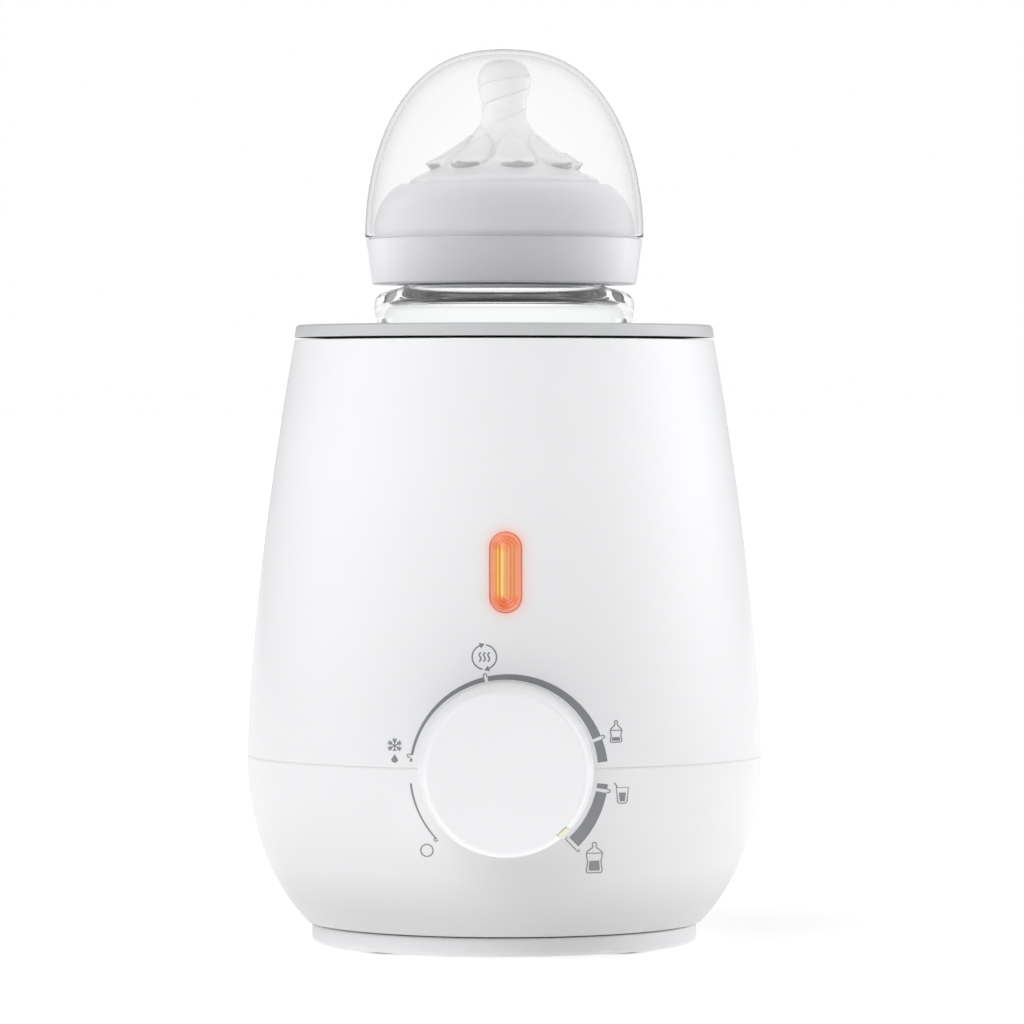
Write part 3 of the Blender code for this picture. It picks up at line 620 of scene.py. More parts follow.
def towers_into(bm, wall_r, low, high):
    """Screw towers, each tied to the wall by a rib."""
    radius, rib = 3.5, 1.2
    start = math.degrees(math.asin(rib / radius))
    plan = arc(TOWER_R, 0, radius, start, 360 - start, 24) + [(wall_r, -rib), (wall_r, rib)]
    for degrees in TOWER_DEG:
        spin = Matrix.Rotation(math.radians(degrees), 4, "Z")
        prism_into(bm, plan, high - low, spin @ Matrix.Translation((0, 0, low)))


def make_upper_housing():
    low = foot("upper_housing")
    soft = 0.16
    outer = [(BODY_R - 0.5, low), (BODY_R - 0.10, low + 0.01), (BODY_R - 0.02, low + 0.07)]
    outer += [(side_r(z), z) for z in spread(low + soft, BODY_TOP_Z - 0.3, 56)]
    outer += [(BODY_TOP_R - 0.12, BODY_TOP_Z - 0.08), (BODY_TOP_R - 0.4, BODY_TOP_Z)]
    rim = [(BODY_TOP_R - WALL, BODY_TOP_Z), (BODY_TOP_R - WALL, 150.0), (44.0, 150.0), (44.0, 148.0)]
    inner = [(side_r(z) - WALL, z) for z in spread(low, 146.0, 10)]
    piece = turned("upper_housing_shell", outer + rim + inner[::-1], WHITE, "base",
                   ["upper_housing"])
    carve(piece, seat_tools(low, 90) + [window_tool()], True)
    bm = bmesh.new()
    towers_into(bm, 63.0, low + 0.4, 60.0)
    turned_into(bm, [(0, 50.4), (3, 50.4), (3, 58.0), (0, 58.0)], 32, along_y(113.5))
    finish_mesh("upper_housing_towers", bm, WHITE, "base")


def make_lower_housing():
    low, high = BELLY_LOW_Z, top("lower_housing")
    outer = [(belly_r(low) - 0.3, low), (belly_r(low + 0.06) - 0.03, low + 0.03)]
    outer += [(belly_r(z), z) for z in spread(low + 0.2, high - 0.16, 48)]
    outer += [(BODY_R - 0.02, high - 0.07), (BODY_R - 0.10, high - 0.01)]
    lip = high + SEAM_GAP - 0.03
    outer += [(BODY_R - 0.14, high), (BODY_R - 0.15, lip), (BODY_R - 1.2, lip), (BODY_R - 1.25, high)]
    inner = [(belly_r(z + 1.4) - WALL, z) for z in spread(low + WALL, high - 3, 12)]
    profile = [(31.0, low)] + outer + [(BODY_R - WALL, high)] + inner[::-1] + [(31.0, low + WALL)]
    piece = turned("lower_housing_shell", profile, WHITE, "base", ["lower_housing"])
    gland_z = (top("cord_gland") + foot("cord_gland")) / 2
    back = along_y(gland_z)
    boss, way = bmesh.new(), bmesh.new()
    turned_into(boss, fillet([(0, -62.6), (8.5, -62.6, 0.5), (8.5, -54), (0, -54)]), 64, back)
    turned_into(way, [(0, -70), (7.9, -70), (7.8, -62.6), (4.8, -62.6), (4.8, -50), (0, -50)], 64, back)
    tools = [("UNION", cutter(boss, "boss")), ("DIFFERENCE", cutter(way, "cord way"))]
    carve(piece, tools + seat_tools(22, high), True)
    bm = bmesh.new()
    towers_into(bm, 48.6, low + 1.0, high - 0.4)
    finish_mesh("lower_housing_towers", bm, WHITE, "base")


def make_base_plate():
    profile = fillet([(0, UNDERSIDE_Z), (43.6, UNDERSIDE_Z, 0.2), (44.0, 1.1, 0.2), (45.2, 1.1, 0.2),
                      (45.6, UNDERSIDE_Z, 0.2), (48.2, UNDERSIDE_Z, 0.5), (PLINTH_R, 1.6, 0.8),
                      (PLINTH_R, PLINTH_TOP_Z, 0.4), (46.4, PLINTH_TOP_Z), (46.4, 3.2), (0, 3.2)])
    piece = turned("base_plate_fine", profile, SHADED_BASE_WHITE, "base", ["base_plate"])
    bm = bmesh.new()
    for degrees in TOWER_DEG:
        x, y = around(FOOT_R, degrees)
        hole = fillet([(0, -1), (6.3, -1), (6.3, 1.8, 0.3), (0, 1.8)])
        turned_into(bm, hole, 64, Matrix.Translation((x, y, 0)))
    for degrees in BASE_SCREW_DEG:
        x, y = around(BASE_SCREW_R, degrees)
        hole = fillet([(0, -1), (3.4, -1), (3.3, 1.9, 0.2), (1.8, 1.9), (1.8, 6), (0, 6)])
        turned_into(bm, hole, 48, Matrix.Translation((x, y, 0)))
    carve(piece, [("DIFFERENCE", cutter(bm, "base holes"))])


def make_feet():
    """Rubber pads with two moulded grip rings."""
    for i, degrees in enumerate(TOWER_DEG):
        x, y = around(FOOT_R, degrees)
        grip = fillet([(0, 0.25), (1.6, 0.25, 0.15), (1.9, 0, 0.15), (2.5, 0, 0.15), (2.8, 0.25, 0.15),
                       (3.4, 0.25, 0.15), (3.7, 0, 0.15), (5.4, 0, 0.2), (6.0, 0.5, 0.3), (6.0, 1.5, 0.2),
                       (0, 1.5)], 3)
        node = f"rubber_foot_{i + 1}"
        turned(f"foot_pad_{i + 1}", grip, RUBBER, "base", [node], 64,
               Matrix.Translation((x, y, 0)))


def bar_tool(place, turn):
    """One bar of a screw's cross recess, narrowing as it goes in."""
    bm = bmesh.new()
    spin = place @ Matrix.Rotation(math.radians(turn), 4, "Z")
    loops = []
    for depth, share in ((-1.5, 1.0), (-0.2, 0.55)):
        half, thin = 1.5 * share, 0.36 * share
        corners = ((half, -thin), (half, thin), (-half, thin), (-half, -thin))
        loops.append([spin @ Vector((x, y, depth)) for x, y in corners])
    lofted_into(bm, loops)
    return ("DIFFERENCE", cutter(bm, "recess bar"))


def make_base_screws():
    for i, degrees in enumerate(BASE_SCREW_DEG):
        seat = Matrix.Translation((*around(BASE_SCREW_R, degrees), 1.6))
        head = fillet([(0, -0.9), (2.0, -0.9, 0.6), (2.85, -0.1, 0.1), (2.85, 0), (1.1, 0)], 4)
        thread = [(1.1 if k % 2 else 0.85, 0.5 + k * 0.5) for k in range(18)]
        piece = turned(f"base_screw_fine_{i + 1}", head + thread + [(0, 11)], STEEL, "base",
                       [f"base_screw_{i + 1}"], 40, seat)
        carve(piece, [bar_tool(seat, 20), bar_tool(seat, 110)])


def make_rim_and_well():
    funnel = smooth([(46.0, RIM_TOP_Z), (44.4, 155.9), (42.6, 154.9), (41.2, 153.2), (40.5, 151.2),
                     (40.2, 149.3)])
    rim = fillet([(RIM_R, RIM_LOW_Z, 0.15), (52.6, RIM_TOP_Z - 0.05, 0.9), (50.0, RIM_TOP_Z)], 8)
    under = [(40.3, 149.0), (41.2, 149.0), (41.3, RIM_LOW_Z), (42.2, RIM_LOW_Z)]
    turned("rim_trim", rim + funnel + under, RING_GREY, "base", ["top_ring"])
    flange = 150.3
    outside = WELL_R + 2.0
    cup = fillet([(33.0, 49.4), (outside, 49.4, 1.2), (outside, 146.6), (43.2, 148.2, 0.5), (43.2, flange),
                  (50.2, flange), (50.2, BODY_TOP_Z), (41.7, BODY_TOP_Z, 0.2), (41.7, 148.4, 0.4),
                  (WELL_R, 147.6, 0.4), (WELL_R, 51.4, 0.8), (33.0, 51.4)], 5)
    turned("well_cup", cup, WELL_WHITE, "base", ["water_well"])


def make_plate():
    """Heating plate with a shallow moat near its edge and four blind pilot holes below."""
    profile = fillet([(0, 48.5), (32.0, 48.5, 0.4), (32.0, 53.0, 0.3), (38.9, 53.0, 0.2),
                      (38.9, PLATE_TOP_Z, 0.5), (37.0, PLATE_TOP_Z, 0.2), (36.6, PLATE_TOP_Z - 0.5, 0.2),
                      (35.6, PLATE_TOP_Z - 0.5, 0.2), (35.2, PLATE_TOP_Z, 0.2), (0, PLATE_TOP_Z)])
    piece = turned("heating_plate_fine", profile, ALU, "base", ["heating_plate"])
    bm = bmesh.new()
    for x, y, radius in ((-26, 0, 1.6), (26, 0, 1.6), (-11.9, 22, 1.4), (11.9, 22, 1.4)):
        pilot = [(0, 40), (radius, 40), (radius, 52.5), (0, 52.5)]
        turned_into(bm, pilot, 32, Matrix.Translation((x, y, 0)))
    carve(piece, [("DIFFERENCE", cutter(bm, "plate pilots"))])


def make_gland():
    z = (top("cord_gland") + foot("cord_gland")) / 2
    profile = fillet([(3.25, -64.6, 0.5), (6.6, -64.6, 0.6), (7.3, -63.7, 0.4), (7.3, -62.9), (4.5, -62.9),
                      (4.5, -53.7), (6.0, -53.7, 0.3), (6.0, -52.2, 0.3), (3.25, -52.2, 0.3)])
    turned("gland_bush", profile, SHADED_BASE_WHITE, "base", ["cord_gland"], 80, along_y(z))


# Knob, dial and lens

def make_knob():
    profile = fillet([(0, KNOB_FRONT), (KNOB_FACE_R - 0.05, KNOB_FRONT, 1.3), (21.35, 65.0, 0.25),
                      (21.3, 64.4, 0.15), (20.6, 64.3), (20.6, KNOB_REAR, 0.2),
                      (18.7, KNOB_REAR), (17.9, KNOB_FRONT - 2.2, 0.8),
                      (5.5, KNOB_FRONT - 2.2, 0.8), (5.5, 63.0), (3.3, 63.0),
                      (3.3, KNOB_FRONT - 4), (0, KNOB_FRONT - 4)], 8)
    piece = turned("knob_shell", profile, KNOB_WHITE, "knob", ["knob"], FINE,
                   along_y(KNOB_Z))
    at = Matrix.Translation((0, 0, KNOB_Z)) @ Matrix.Rotation(math.radians(-POINTER_DEG), 4, "Y")
    flat = at @ Matrix.Scale(-1, 4, (0, 1, 0))
    slot = bmesh.new()
    prism_into(slot, [(21.5, 71.3), (21.5, 82), (19.0, 82), (19.0, 71.3)], 3.1,
               flat @ Matrix.Translation((0, 0, -1.55)))
    carve(piece, [("DIFFERENCE", cutter(slot, "pointer slot"))])
    bm = bmesh.new()
    wedge = fillet([(20.75, 71.5, 0.2), (20.3, 79.2, 0.7), (19.1, 79.9, 0.2), (19.1, 71.5)], 5)
    prism_into(bm, wedge, 2.9, flat @ Matrix.Translation((0, 0, -1.45)))
    finish_mesh("knob_pointer_fine", bm, CREAM, "knob", ["knob_pointer"])


def on_housing(x, z, lift):
    """The point of the housing's front at this x and height, lifted off the surface."""
    radius = body_r(z)
    y = -math.sqrt(radius**2 - x**2)
    grow = (radius + lift) / radius
    return Vector((x * grow, y * grow, z))


PRINT_TOP, PRINT_ROOT = 0.05, -0.06


def printed(bm, outline):
    """A closed outline in dial millimetres, as a thin closed patch of ink on the housing."""
    lofted_into(bm, [[on_housing(DIAL_X + x, DIAL_Z + z, lift) for x, z in outline]
                     for lift in (PRINT_ROOT, PRINT_TOP)])


def stroke(bm, points, width, closed=False):
    """Ink line of this width through the points, one short patch per step."""
    points = [Vector(p) for p in points]
    count = len(points)
    if closed:
        points.append(points[0])
    sides = []
    for i in range(len(points)):
        before, after = (points[k % count if closed else min(max(k, 0), count - 1)]
                         for k in (i - 1, i + 1))
        along = (after - before).normalized()
        sides.append(Vector((-along.y, along.x)) * width / 2)
    for a, b, side_a, side_b in zip(points, points[1:], sides, sides[1:]):
        printed(bm, [a - side_a, b - side_b, b + side_b, a + side_a])


def ring_stroke(bm, cx, cz, radius, width, start=0, end=360, steps=28):
    stroke(bm, arc(cx, cz, radius, start, end, steps), width)


def scale_width(degrees):
    """The scale widens steadily from the off end to the large-bottle end."""
    share = (SCALE_START - degrees) / (SCALE_START - SCALE_END)
    return 0.36 + 2.84 * share**1.55


def tick_cap(bm, mark, inner):
    """The thin outline round the end of a mark's white tick, just outside the scale."""
    spin = Matrix.Rotation(math.radians(mark), 2)
    hook = [(inner, -0.36)] + arc(inner + 0.42, 0, 0.36, -90, 90, 8) + [(inner, 0.36)]
    stroke(bm, [spin @ Vector(p) for p in hook], 0.26)


def make_dial():
    bm = bmesh.new()
    seam_half, step, mark_half = 2.4, 1.0, 0.55
    angle = SCALE_START
    while angle > SCALE_END:
        nxt = max(angle - step, SCALE_END)
        inside, outside = scale_width(angle) / 2, scale_width(nxt) / 2
        corners = [around(DIAL_R - inside, angle), around(DIAL_R + inside, angle),
                   around(DIAL_R + outside, nxt), around(DIAL_R - outside, nxt)]
        clear = all(abs(z) > seam_half for _, z in corners)
        marked = any(nxt - mark_half < mark < angle + mark_half for mark in MARKS_DEG)
        if clear and not marked:
            printed(bm, corners)
        angle = nxt
    for mark in MARKS_DEG:
        tick_cap(bm, mark, DIAL_R + scale_width(mark) / 2)
    tick_cap(bm, SCALE_START, DIAL_R - 0.1)
    bar = Matrix.Rotation(math.radians(SCALE_END - 1.5), 2)
    low, high = DIAL_R - 2.0, DIAL_R + 2.2
    outline = [(low, 0.32)] + [(low, -0.32)] + arc(high, 0, 0.32, -90, 90, 6)
    stroke(bm, [bar @ Vector(p) for p in outline], 0.28)
    finish_mesh("dial_scale", bm, INK, "base")


def draw_off(bm):
    ring_stroke(bm, -19.4, -19.0, 1.5, 0.3)


def draw_defrost(bm):
    """A six-armed snowflake over a drop."""
    centre = Vector((-27.25, 6.5))
    for k in range(6):
        way = Vector(around(1.0, 60 * k + 90))
        side = Vector((-way.y, way.x))
        stroke(bm, [centre, centre + way * (1.3 if k == 3 else 1.85)], 0.26)
        for near, wide in ((0.75, 0.45), (1.2, 0.5)):
            if k == 3 and near > 1:
                continue
            for sign in (-1, 1):
                twig = centre + way * (near + 0.5) + side * wide * sign
                stroke(bm, [centre + way * near, twig], 0.22)
    drop = smooth([(0, 0.0), (0.42, -0.72), (0.8, -1.35), (0.55, -1.95), (0, -2.15), (-0.55, -1.95),
                   (-0.8, -1.35), (-0.42, -0.72), (0, 0)], 4)[:-1]
    printed(bm, [(centre.x + x, centre.y - 2.0 + z) for x, z in drop])


def draw_keep_warm(bm):
    """Three waves inside two arrows that chase each other clockwise."""
    x, z, radius = -5.45, 28.25, 2.95
    for start, end in ((262, 112), (82, -68)):
        ring_stroke(bm, x, z, radius, 0.34, start, end, 20)
        tip = Vector((x, z)) + Vector(around(radius, end))
        ahead = Vector(around(1.0, end - 90))
        side = Vector((-ahead.y, ahead.x))
        printed(bm, [tip - side * 0.72, tip + side * 0.72, tip + ahead * 1.25])
    for shift in (-1.05, 0.0, 1.05):
        wave = smooth([(x + shift + 0.22, z + 1.15), (x + shift - 0.2, z + 0.55), (x + shift + 0.05, z),
                       (x + shift + 0.2, z - 0.5), (x + shift - 0.2, z - 1.15)], 4)
        stroke(bm, wave, 0.36)


def draw_bottle(bm, x, z, half, tall, collar, level):
    """A waisted bottle and its teat in one outline: collar and milk level are shares from the top."""
    def at(share_x, share_z):
        return (x + half * share_x, z + tall * (0.5 - share_z))

    right = smooth([at(0, 0), at(0.2, 0.02), at(0.26, 0.07), at(0.2, 0.15), at(0.5, collar * 0.62),
                    at(0.93, collar * 0.86), at(1.0, collar), at(0.9, (1 + collar) * 0.42), at(0.84, 0.62),
                    at(0.92, 0.8), at(1.0, 0.9), at(0.93, 0.98), at(0.75, 1.0)], 3)
    left = [(2 * x - px, pz) for px, pz in right[::-1]]
    stroke(bm, right + [at(0, 1.0)] + left[:-1], 0.27, closed=True)
    stroke(bm, [at(-0.95, collar), at(0.95, collar)], 0.24)
    waist = max(level, 0.62)
    printed(bm, [at(-0.62, 0.93), at(0.62, 0.93), at(0.72, 0.88), at(0.60, waist), at(0.62, level),
                 at(-0.62, level), at(-0.60, waist), at(-0.72, 0.88)])


def draw_cup(bm, x, z):
    """A tapered cup with a bent straw."""
    stroke(bm, [(x - 1.5, z + 1.8), (x - 1.15, z - 1.7), (x - 0.85, z - 2.05), (x + 0.85, z - 2.05),
                (x + 1.15, z - 1.7), (x + 1.5, z + 1.8)], 0.27, closed=True)
    stroke(bm, [(x - 1.25, z + 1.8), (x - 1.5, z + 2.4), (x - 2.0, z + 3.0)], 0.27)
    printed(bm, [(x - 0.62, z - 1.6), (x + 0.62, z - 1.6), (x + 0.85, z + 0.55), (x - 0.85, z + 0.55)])


def make_icons():
    bm = bmesh.new()
    draw_off(bm)
    draw_defrost(bm)
    draw_keep_warm(bm)
    draw_bottle(bm, 26.6, 9.95, 1.4, 5.2, 0.45, 0.77)
    draw_cup(bm, 28.15, -5.55)
    draw_bottle(bm, 21.35, -20.9, 1.95, 7.6, 0.35, 0.6)
    finish_mesh("dial_icons", bm, INK, "base")


def make_lens():
    """Pill-shaped light pipe: a rounded rim, then ribs that follow the outline inwards."""
    bm = bmesh.new()
    flange = [(-4.4, 1.6), (-3.4, 1.6), (-3.4, 0.0), (-0.25, 0.0), (-0.08, -0.06), (0.0, -0.22),
              (0.0, -0.42)]
    ribs = [(-0.10 + 0.10 * math.cos(k * 2 * math.pi / 7.2), -0.42 - k * 0.115)
            for k in range(1, 30)]
    lofted_into(bm, [lens_loop(out, grow) for out, grow in flange + ribs])
    finish_mesh("lens_fine", bm, LENS, "base", ["indicator_lens"])


# Bottle

def make_bottle():
    low = BOTTLE_FOOT_Z
    waisted = smooth([(32.0, low + 5.5), (32.75, 68), (32.8, 80), (31.7, 98), (30.0, 118), (30.3, 138),
                      (31.9, 153.5), (32.75, 160.0)], 8)
    shoulder = smooth([(32.85, 161.2), (32.5, 162.8), (31.2, 164.1), (28.9, 165.0), (26.4, 165.6)], 5)
    outer = fillet([(0, low + 1.2), (22.5, low + 1.2, 1.0), (24.5, low, 0.8), (28.0, low)])
    outer += arc(27.6, low + 4.4, 4.4, -80, 0, 8) + waisted + shoulder
    outer += fillet([(25.4, 166.0), (25.4, MOUTH_Z, 0.8), (23.0, MOUTH_Z, 0.6), (23.0, 166.0)])
    outer = [p for i, p in enumerate(outer)
             if i == 0 or (Vector(p) - Vector(outer[i - 1])).length > 0.02]
    inside = smooth([(23.0, 164.6), (24.6, 163.3), (27.6, 162.5), (29.6, 161.2), (30.4, 159.0),
                     (30.2, 157.0)], 5)
    down = smooth([(29.4, 152.5), (27.9, 138), (27.6, 118), (29.3, 98), (30.4, 80), (30.3, 68),
                   (29.6, low + 7.5), (27.2, low + 5.0), (22.0, low + 4.2), (10.0, low + 4.4)], 8)
    turned("bottle_glass_body", outer + inside + down + [(0, low + 4.4)], BOTTLE_GLASS, "bottle",
           ["glass_bottle"])
    thread = bmesh.new()
    loops = []
    for k in range(97):
        share = k / 96
        turn = 2 * math.pi * 1.25 * share
        size = 0.15 + 0.95 * min(1.0, 8 * share, 8 * (1 - share))
        middle = Vector((25.3, 0, 172.0 + 4.6 * share))
        section = [Vector((r, 0, z)) for r, z in arc(0, 0, 1.0, 0, 360, 12)[:-1]]
        spin = Matrix.Rotation(turn, 4, "Z")
        loops.append([spin @ (middle + Vector((p.x * size * 1.3, 0, p.z * size))) for p in section])
    lofted_into(thread, loops)
    finish_mesh("bottle_thread", thread, BOTTLE_GLASS, "bottle")


PETALS = 8
PETAL_TURN = 10.0
GROOVES = ((218.0, 0.021), (213.7, 0.036), (207.9, 0.044))


def off_middle(angle, turn):
    """How far round this is from the nearest petal's middle, from -1 to 1."""
    pitch = 360 / PETALS
    return ((angle - turn + pitch / 2) % pitch - pitch / 2) / (pitch / 2)


def petal_height(down, across):
    """Relief of a petal: a round arch at its top, full width below, and a blunt rounded end."""
    if not 0 < down < 1:
        return 0.0
    width = 0.93
    if down < 0.5:
        width *= math.sqrt(1 - (1 - down / 0.5) ** 2)
    if down > 0.66:
        width *= math.sqrt(1 - ((down - 0.66) / 0.34) ** 2)
    if abs(across) >= width:
        return 0.0
    return 2.5 * (1 - (across / width) ** 2) ** 0.4 * (0.3 + 0.7 * down**0.8)


def teat_relief(point):
    """Rounded petals round the cone, a smaller row above them, and three slanting neck grooves."""
    radius = math.hypot(point.x, point.y)
    if radius < 1e-6:
        return point
    angle = (math.degrees(math.atan2(point.y, point.x)) + 90 + 180) % 360 - 180
    down = (PETAL_TOP - point.z) / (PETAL_TOP - PETAL_LOW)
    lift = petal_height(down, off_middle(angle, PETAL_TURN))
    small = (point.z - 202.2) / 4.6
    if 0 < small < 1:
        across = off_middle(angle, PETAL_TURN + 180 / PETALS)
        lift = max(lift, 0.6 * max(0.0, 1 - (across / 0.8) ** 2) * math.sin(math.pi * small))
    sink = 0.0
    for height, slope in GROOVES:
        gap = point.z - height - angle * slope
        sink += 0.30 * math.exp(-((gap / 0.17) ** 2)) * min(1.0, max(0.0, (100 - abs(angle - 10)) / 25))
    grow = (radius + lift * 0.66 - sink) / radius
    return Vector((point.x * grow, point.y * grow, point.z + lift * 0.62))


def make_teat():
    low = foot("teat")
    skirt = [(27.6, low), (27.6, low + 1.9), (24.1, low + 2.0), (24.0, 190.6)]
    cone = smooth([(24.15, 191.6), (23.6, 192.9), (21.2, 194.2), (18.4, 195.6), (15.9, 197.2),
                   (13.4, 199.0), (11.2, 200.8), (9.2, 202.7), (7.6, 204.6), (6.4, 206.8),
                   (5.65, 209.4), (5.8, 211.9), (6.3, 214.3), (6.7, 216.8), (6.6, 219.2),
                   (5.6, 221.5), (3.6, 222.9), (1.6, 223.42)], 13)
    outer = skirt + cone + [(0, 223.5)]
    bm = bmesh.new()
    turned_into(bm, outer + teat_inside(low), 256, None, teat_shape)
    finish_mesh("teat_fine", bm, TEAT, "teat", ["teat"], 60)


def teat_inside(low):
    line = smooth([(1.6, 221.7), (3.6, 220.9), (4.9, 219.0), (4.8, 216.8), (4.1, 214.0), (3.75, 211.1),
                   (4.3, 208.2), (5.6, 204.8), (7.4, 201.6), (9.9, 198.6), (13.0, 196.2), (16.6, 194.4),
                   (20.0, 192.6), (21.9, 190.2)], 3)
    return [(0, 221.8)] + line + [(22.2, 187.0), (22.2, low)]


def teat_shape(point):
    radius = math.hypot(point.x, point.y)
    outside = radius > teat_wall_middle(point.z)
    return teat_relief(point) if outside else point


def teat_wall_middle(z):
    """Half way between the teat's inner and outer surfaces on its neck and cone."""
    if z < 191:
        return 99.0
    steps = [(191, 22.8), (193, 21.0), (194.6, 18.2), (197, 14.2), (199, 11.3), (202, 8.6), (205, 6.3),
             (208, 5.2), (211, 4.8), (216, 5.5), (219, 5.8), (221.3, 4.2), (223.6, 0.5)]
    for (z0, r0), (z1, r1) in zip(steps, steps[1:]):
        if z <= z1:
            return r0 + (r1 - r0) * (z - z0) / (z1 - z0)
    return 0.0


def make_screw_ring():
    ledge = RING_LEDGE_Z
    shoulder = smooth([(33.05, ledge + 0.9), (32.9, 181.2), (32.2, 184.2), (30.9, 187.2),
                       (28.9, 189.8), (26.6, 191.6)], 6)
    band = fillet([(26.7, RING_FOOT_Z, 0.3), (33.35, RING_FOOT_Z, 0.5), (RING_R, ledge, 0.35),
                   (33.2, ledge, 0.3)])
    mouth = fillet([(24.9, RING_TOP_Z, 0.4), (24.5, 185.8, 0.3), (28.6, 185.8)])
    mouth += [(28.6, 168.6), (26.7, 167.8)]
    turned("screw_ring_fine", band + shoulder + mouth, CAP_WHITE, "ring", ["screw_ring"])


def dome_line(radius, low, high, steps):
    points = []
    for i in range(steps):
        share = math.sin(math.pi / 2 * i / steps)
        points.append((radius * (1 - share**2) ** 0.4, low + (high - low) * share))
    return points + [(0, high)]


EMBOSS_AT, EMBOSS_R = Vector((20.2, -22.4, 204.6)), 10.8


def dome_relief(point):
    """A plain thin raised ring on the dome's right shoulder."""
    outer = math.hypot(point.x, point.y)
    share = (point.z - DOME_FOOT_Z) / (DOME_TOP_Z - DOME_FOOT_Z)
    line = DOME_R * max(0.0, 1 - share**2) ** 0.4
    if outer < 1e-6 or abs(outer - line) > 0.3:
        return point
    gap = (point - EMBOSS_AT).length - EMBOSS_R
    grow = (outer + 0.30 * math.exp(-((gap / 0.6) ** 2))) / outer
    return Vector((point.x * grow, point.y * grow, point.z))


def make_dome():
    outer = dome_line(DOME_R - 0.02, DOME_FOOT_Z + 0.25, DOME_TOP_Z, 90)
    inner = dome_line(DOME_R - DOME_WALL, DOME_FOOT_Z + 0.25, DOME_TOP_Z - DOME_WALL, 60)
    edge = [(DOME_R - DOME_WALL + 0.2, DOME_FOOT_Z), (DOME_R - 0.22, DOME_FOOT_Z)]
    turned("dome_fine", outer + inner[::-1] + edge, DOME_CLEAR, "dome",
           ["dome_cap"], 240, shape=dome_relief, angle=50)


# Camera, floor and light

CAMERA_BACK, CAMERA_UP, CAMERA_ASIDE = 1.470, 0.136, 0.00195  # metres
CAMERA_TURN, CAMERA_DROP = 0.4, 1.056  # degrees
LENS_MM, SENSOR_MM = 204.1, 36


def make_camera():
    """Nearly level, far back, with a long lens."""
    data = bpy.data.cameras.new("camera")
    data.lens = LENS_MM
    data.sensor_width = SENSOR_MM
    camera = bpy.data.objects.new("camera", data)
    turn = math.radians(CAMERA_TURN)
    camera.location = (CAMERA_ASIDE - CAMERA_BACK * math.sin(turn), -CAMERA_BACK * math.cos(turn),
                       CAMERA_UP)
    camera.rotation_euler = (math.radians(90 - CAMERA_DROP), 0, -turn)
    bpy.context.scene.collection.objects.link(camera)
    bpy.context.scene.camera = camera


FLOOR_HALF = 60000
FLOOR_NEAR, FLOOR_FAR = (0.05, 0.42), (0.25, 0.52)  # metres from the middle, and the glow there


def make_floor():
    """White floor that glows, more so further out, so that it stays white beside the object."""
    bm = bmesh.new()
    bmesh.ops.create_grid(bm, x_segments=2, y_segments=2, size=FLOOR_HALF)
    g = plastic("studio_floor", (0.90, 0.90, 0.90), 0.6, 400, 0.02, mottle=0.0)
    away = g.add("ShaderNodeVectorMath", operation="LENGTH")
    g.put(g.where(), away.inputs[0])
    (near, low), (far, high) = FLOOR_NEAR, FLOOR_FAR
    glow = g.span(away.outputs["Value"], near, far, low, high)
    g.set(Emission_Color=(1.0, 1.0, 1.0, 1.0), Emission_Strength=glow)
    finish_mesh("studio_floor", bm, g.material)


LOBES = (  # where each soft light comes from, how strong it is and how tight
    ((-0.42, -0.52, 0.76), 5.2, 22.0),
    ((-0.90, -0.12, 0.42), 1.05, 7.0),
    ((0.92, 0.14, 0.36), 2.75, 7.0),
    ((0.0, 0.90, 0.42), 0.35, 3.0),
)
FILL = 0.09
EDGE_GREY = 0.62  # what mirror reflections see instead of the lobes


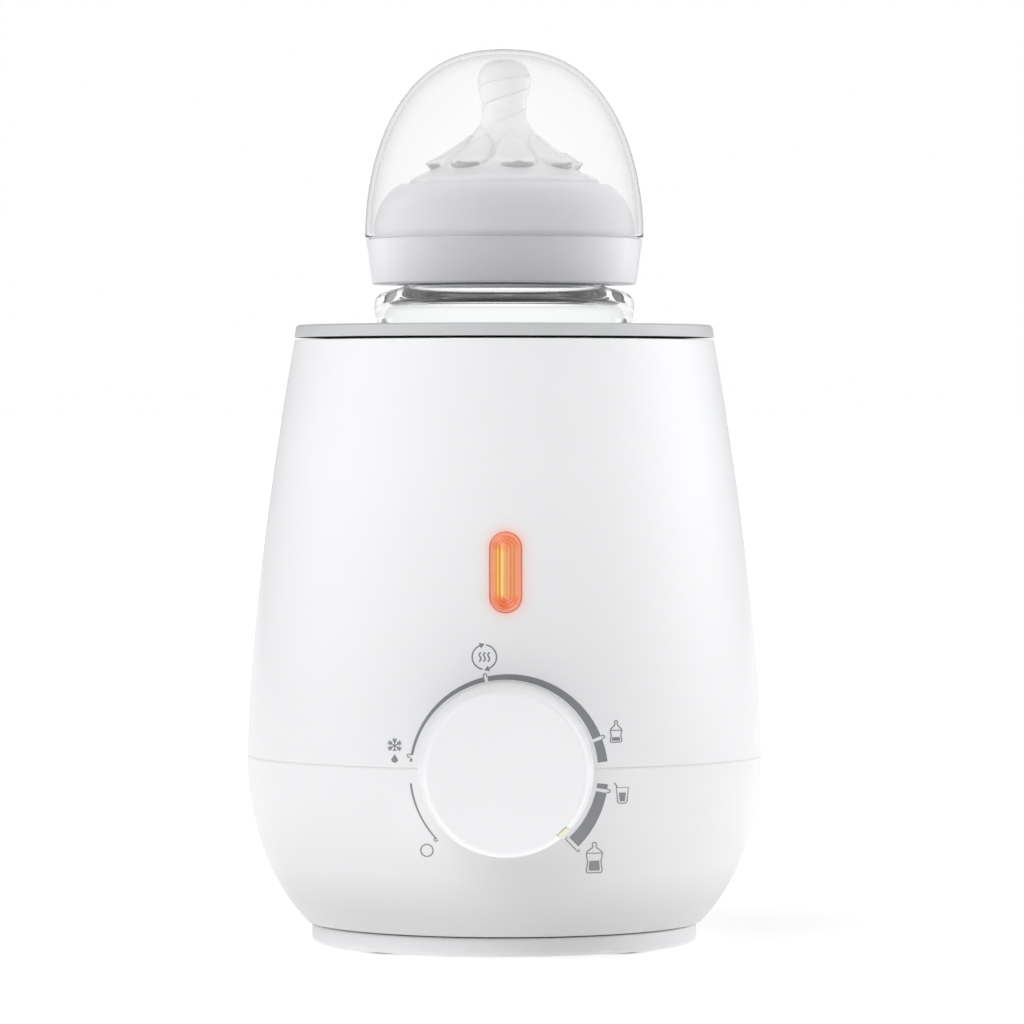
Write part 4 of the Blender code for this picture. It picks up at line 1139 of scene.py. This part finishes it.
def make_world():
    """White behind the object and through clear walls, and one grey in mirror reflections.

    As a light it is dim, with a few soft lobes."""
    world = bpy.data.worlds.new("studio")
    bpy.context.scene.world = world
    world.use_nodes = True
    nodes, links = world.node_tree.nodes, world.node_tree.links
    nodes.clear()

    def math_node(operation, a, b):
        node = nodes.new("ShaderNodeMath")
        node.operation = operation
        for socket, value in zip(node.inputs, (a, b)):
            if isinstance(value, bpy.types.NodeSocket):
                links.new(value, socket)
            else:
                socket.default_value = value
        return node.outputs[0]

    direction = nodes.new("ShaderNodeTexCoord").outputs["Generated"]
    total = FILL
    for aim, strength, tight in LOBES:
        dot = nodes.new("ShaderNodeVectorMath")
        dot.operation = "DOT_PRODUCT"
        links.new(direction, dot.inputs[0])
        dot.inputs[1].default_value = Vector(aim).normalized()
        lobe = math_node("POWER", math_node("MAXIMUM", dot.outputs["Value"], 0.0), tight)
        total = math_node("ADD", math_node("MULTIPLY", lobe, strength), total)
    path = nodes.new("ShaderNodeLightPath")
    clear = math_node("LESS_THAN", path.outputs["Diffuse Depth"], 0.5)
    through = math_node("MULTIPLY", path.outputs["Is Transmission Ray"], clear)
    seen = math_node("MAXIMUM", path.outputs["Is Camera Ray"], through)
    mirrored = math_node("MULTIPLY", path.outputs["Is Glossy Ray"], path.outputs["Is Singular Ray"])
    mirrored = math_node("MULTIPLY", mirrored, clear)
    total = math_node("ADD", math_node("MULTIPLY", mirrored, EDGE_GREY),
                      math_node("MULTIPLY", math_node("SUBTRACT", 1.0, mirrored), total))
    fill, white = nodes.new("ShaderNodeBackground"), nodes.new("ShaderNodeBackground")
    links.new(total, fill.inputs["Strength"])
    fill.inputs["Color"].default_value = (0.985, 0.99, 1.0, 1.0)
    white.inputs["Color"].default_value = (1.0, 1.0, 1.0, 1.0)
    mix, out = nodes.new("ShaderNodeMixShader"), nodes.new("ShaderNodeOutputWorld")
    links.new(seen, mix.inputs["Fac"])
    links.new(fill.outputs[0], mix.inputs[1])
    links.new(white.outputs[0], mix.inputs[2])
    links.new(mix.outputs[0], out.inputs["Surface"])


def make_light():
    make_world()
    bpy.context.scene.view_settings.view_transform = "Standard"


make_camera()
dress_cad_nodes()
make_upper_housing()
make_lower_housing()
make_base_plate()
make_feet()
make_base_screws()
make_rim_and_well()
make_plate()
make_gland()
make_knob()
make_dial()
make_icons()
make_lens()
make_bottle()
make_teat()
make_screw_ring()
make_dome()
make_floor()
make_light()
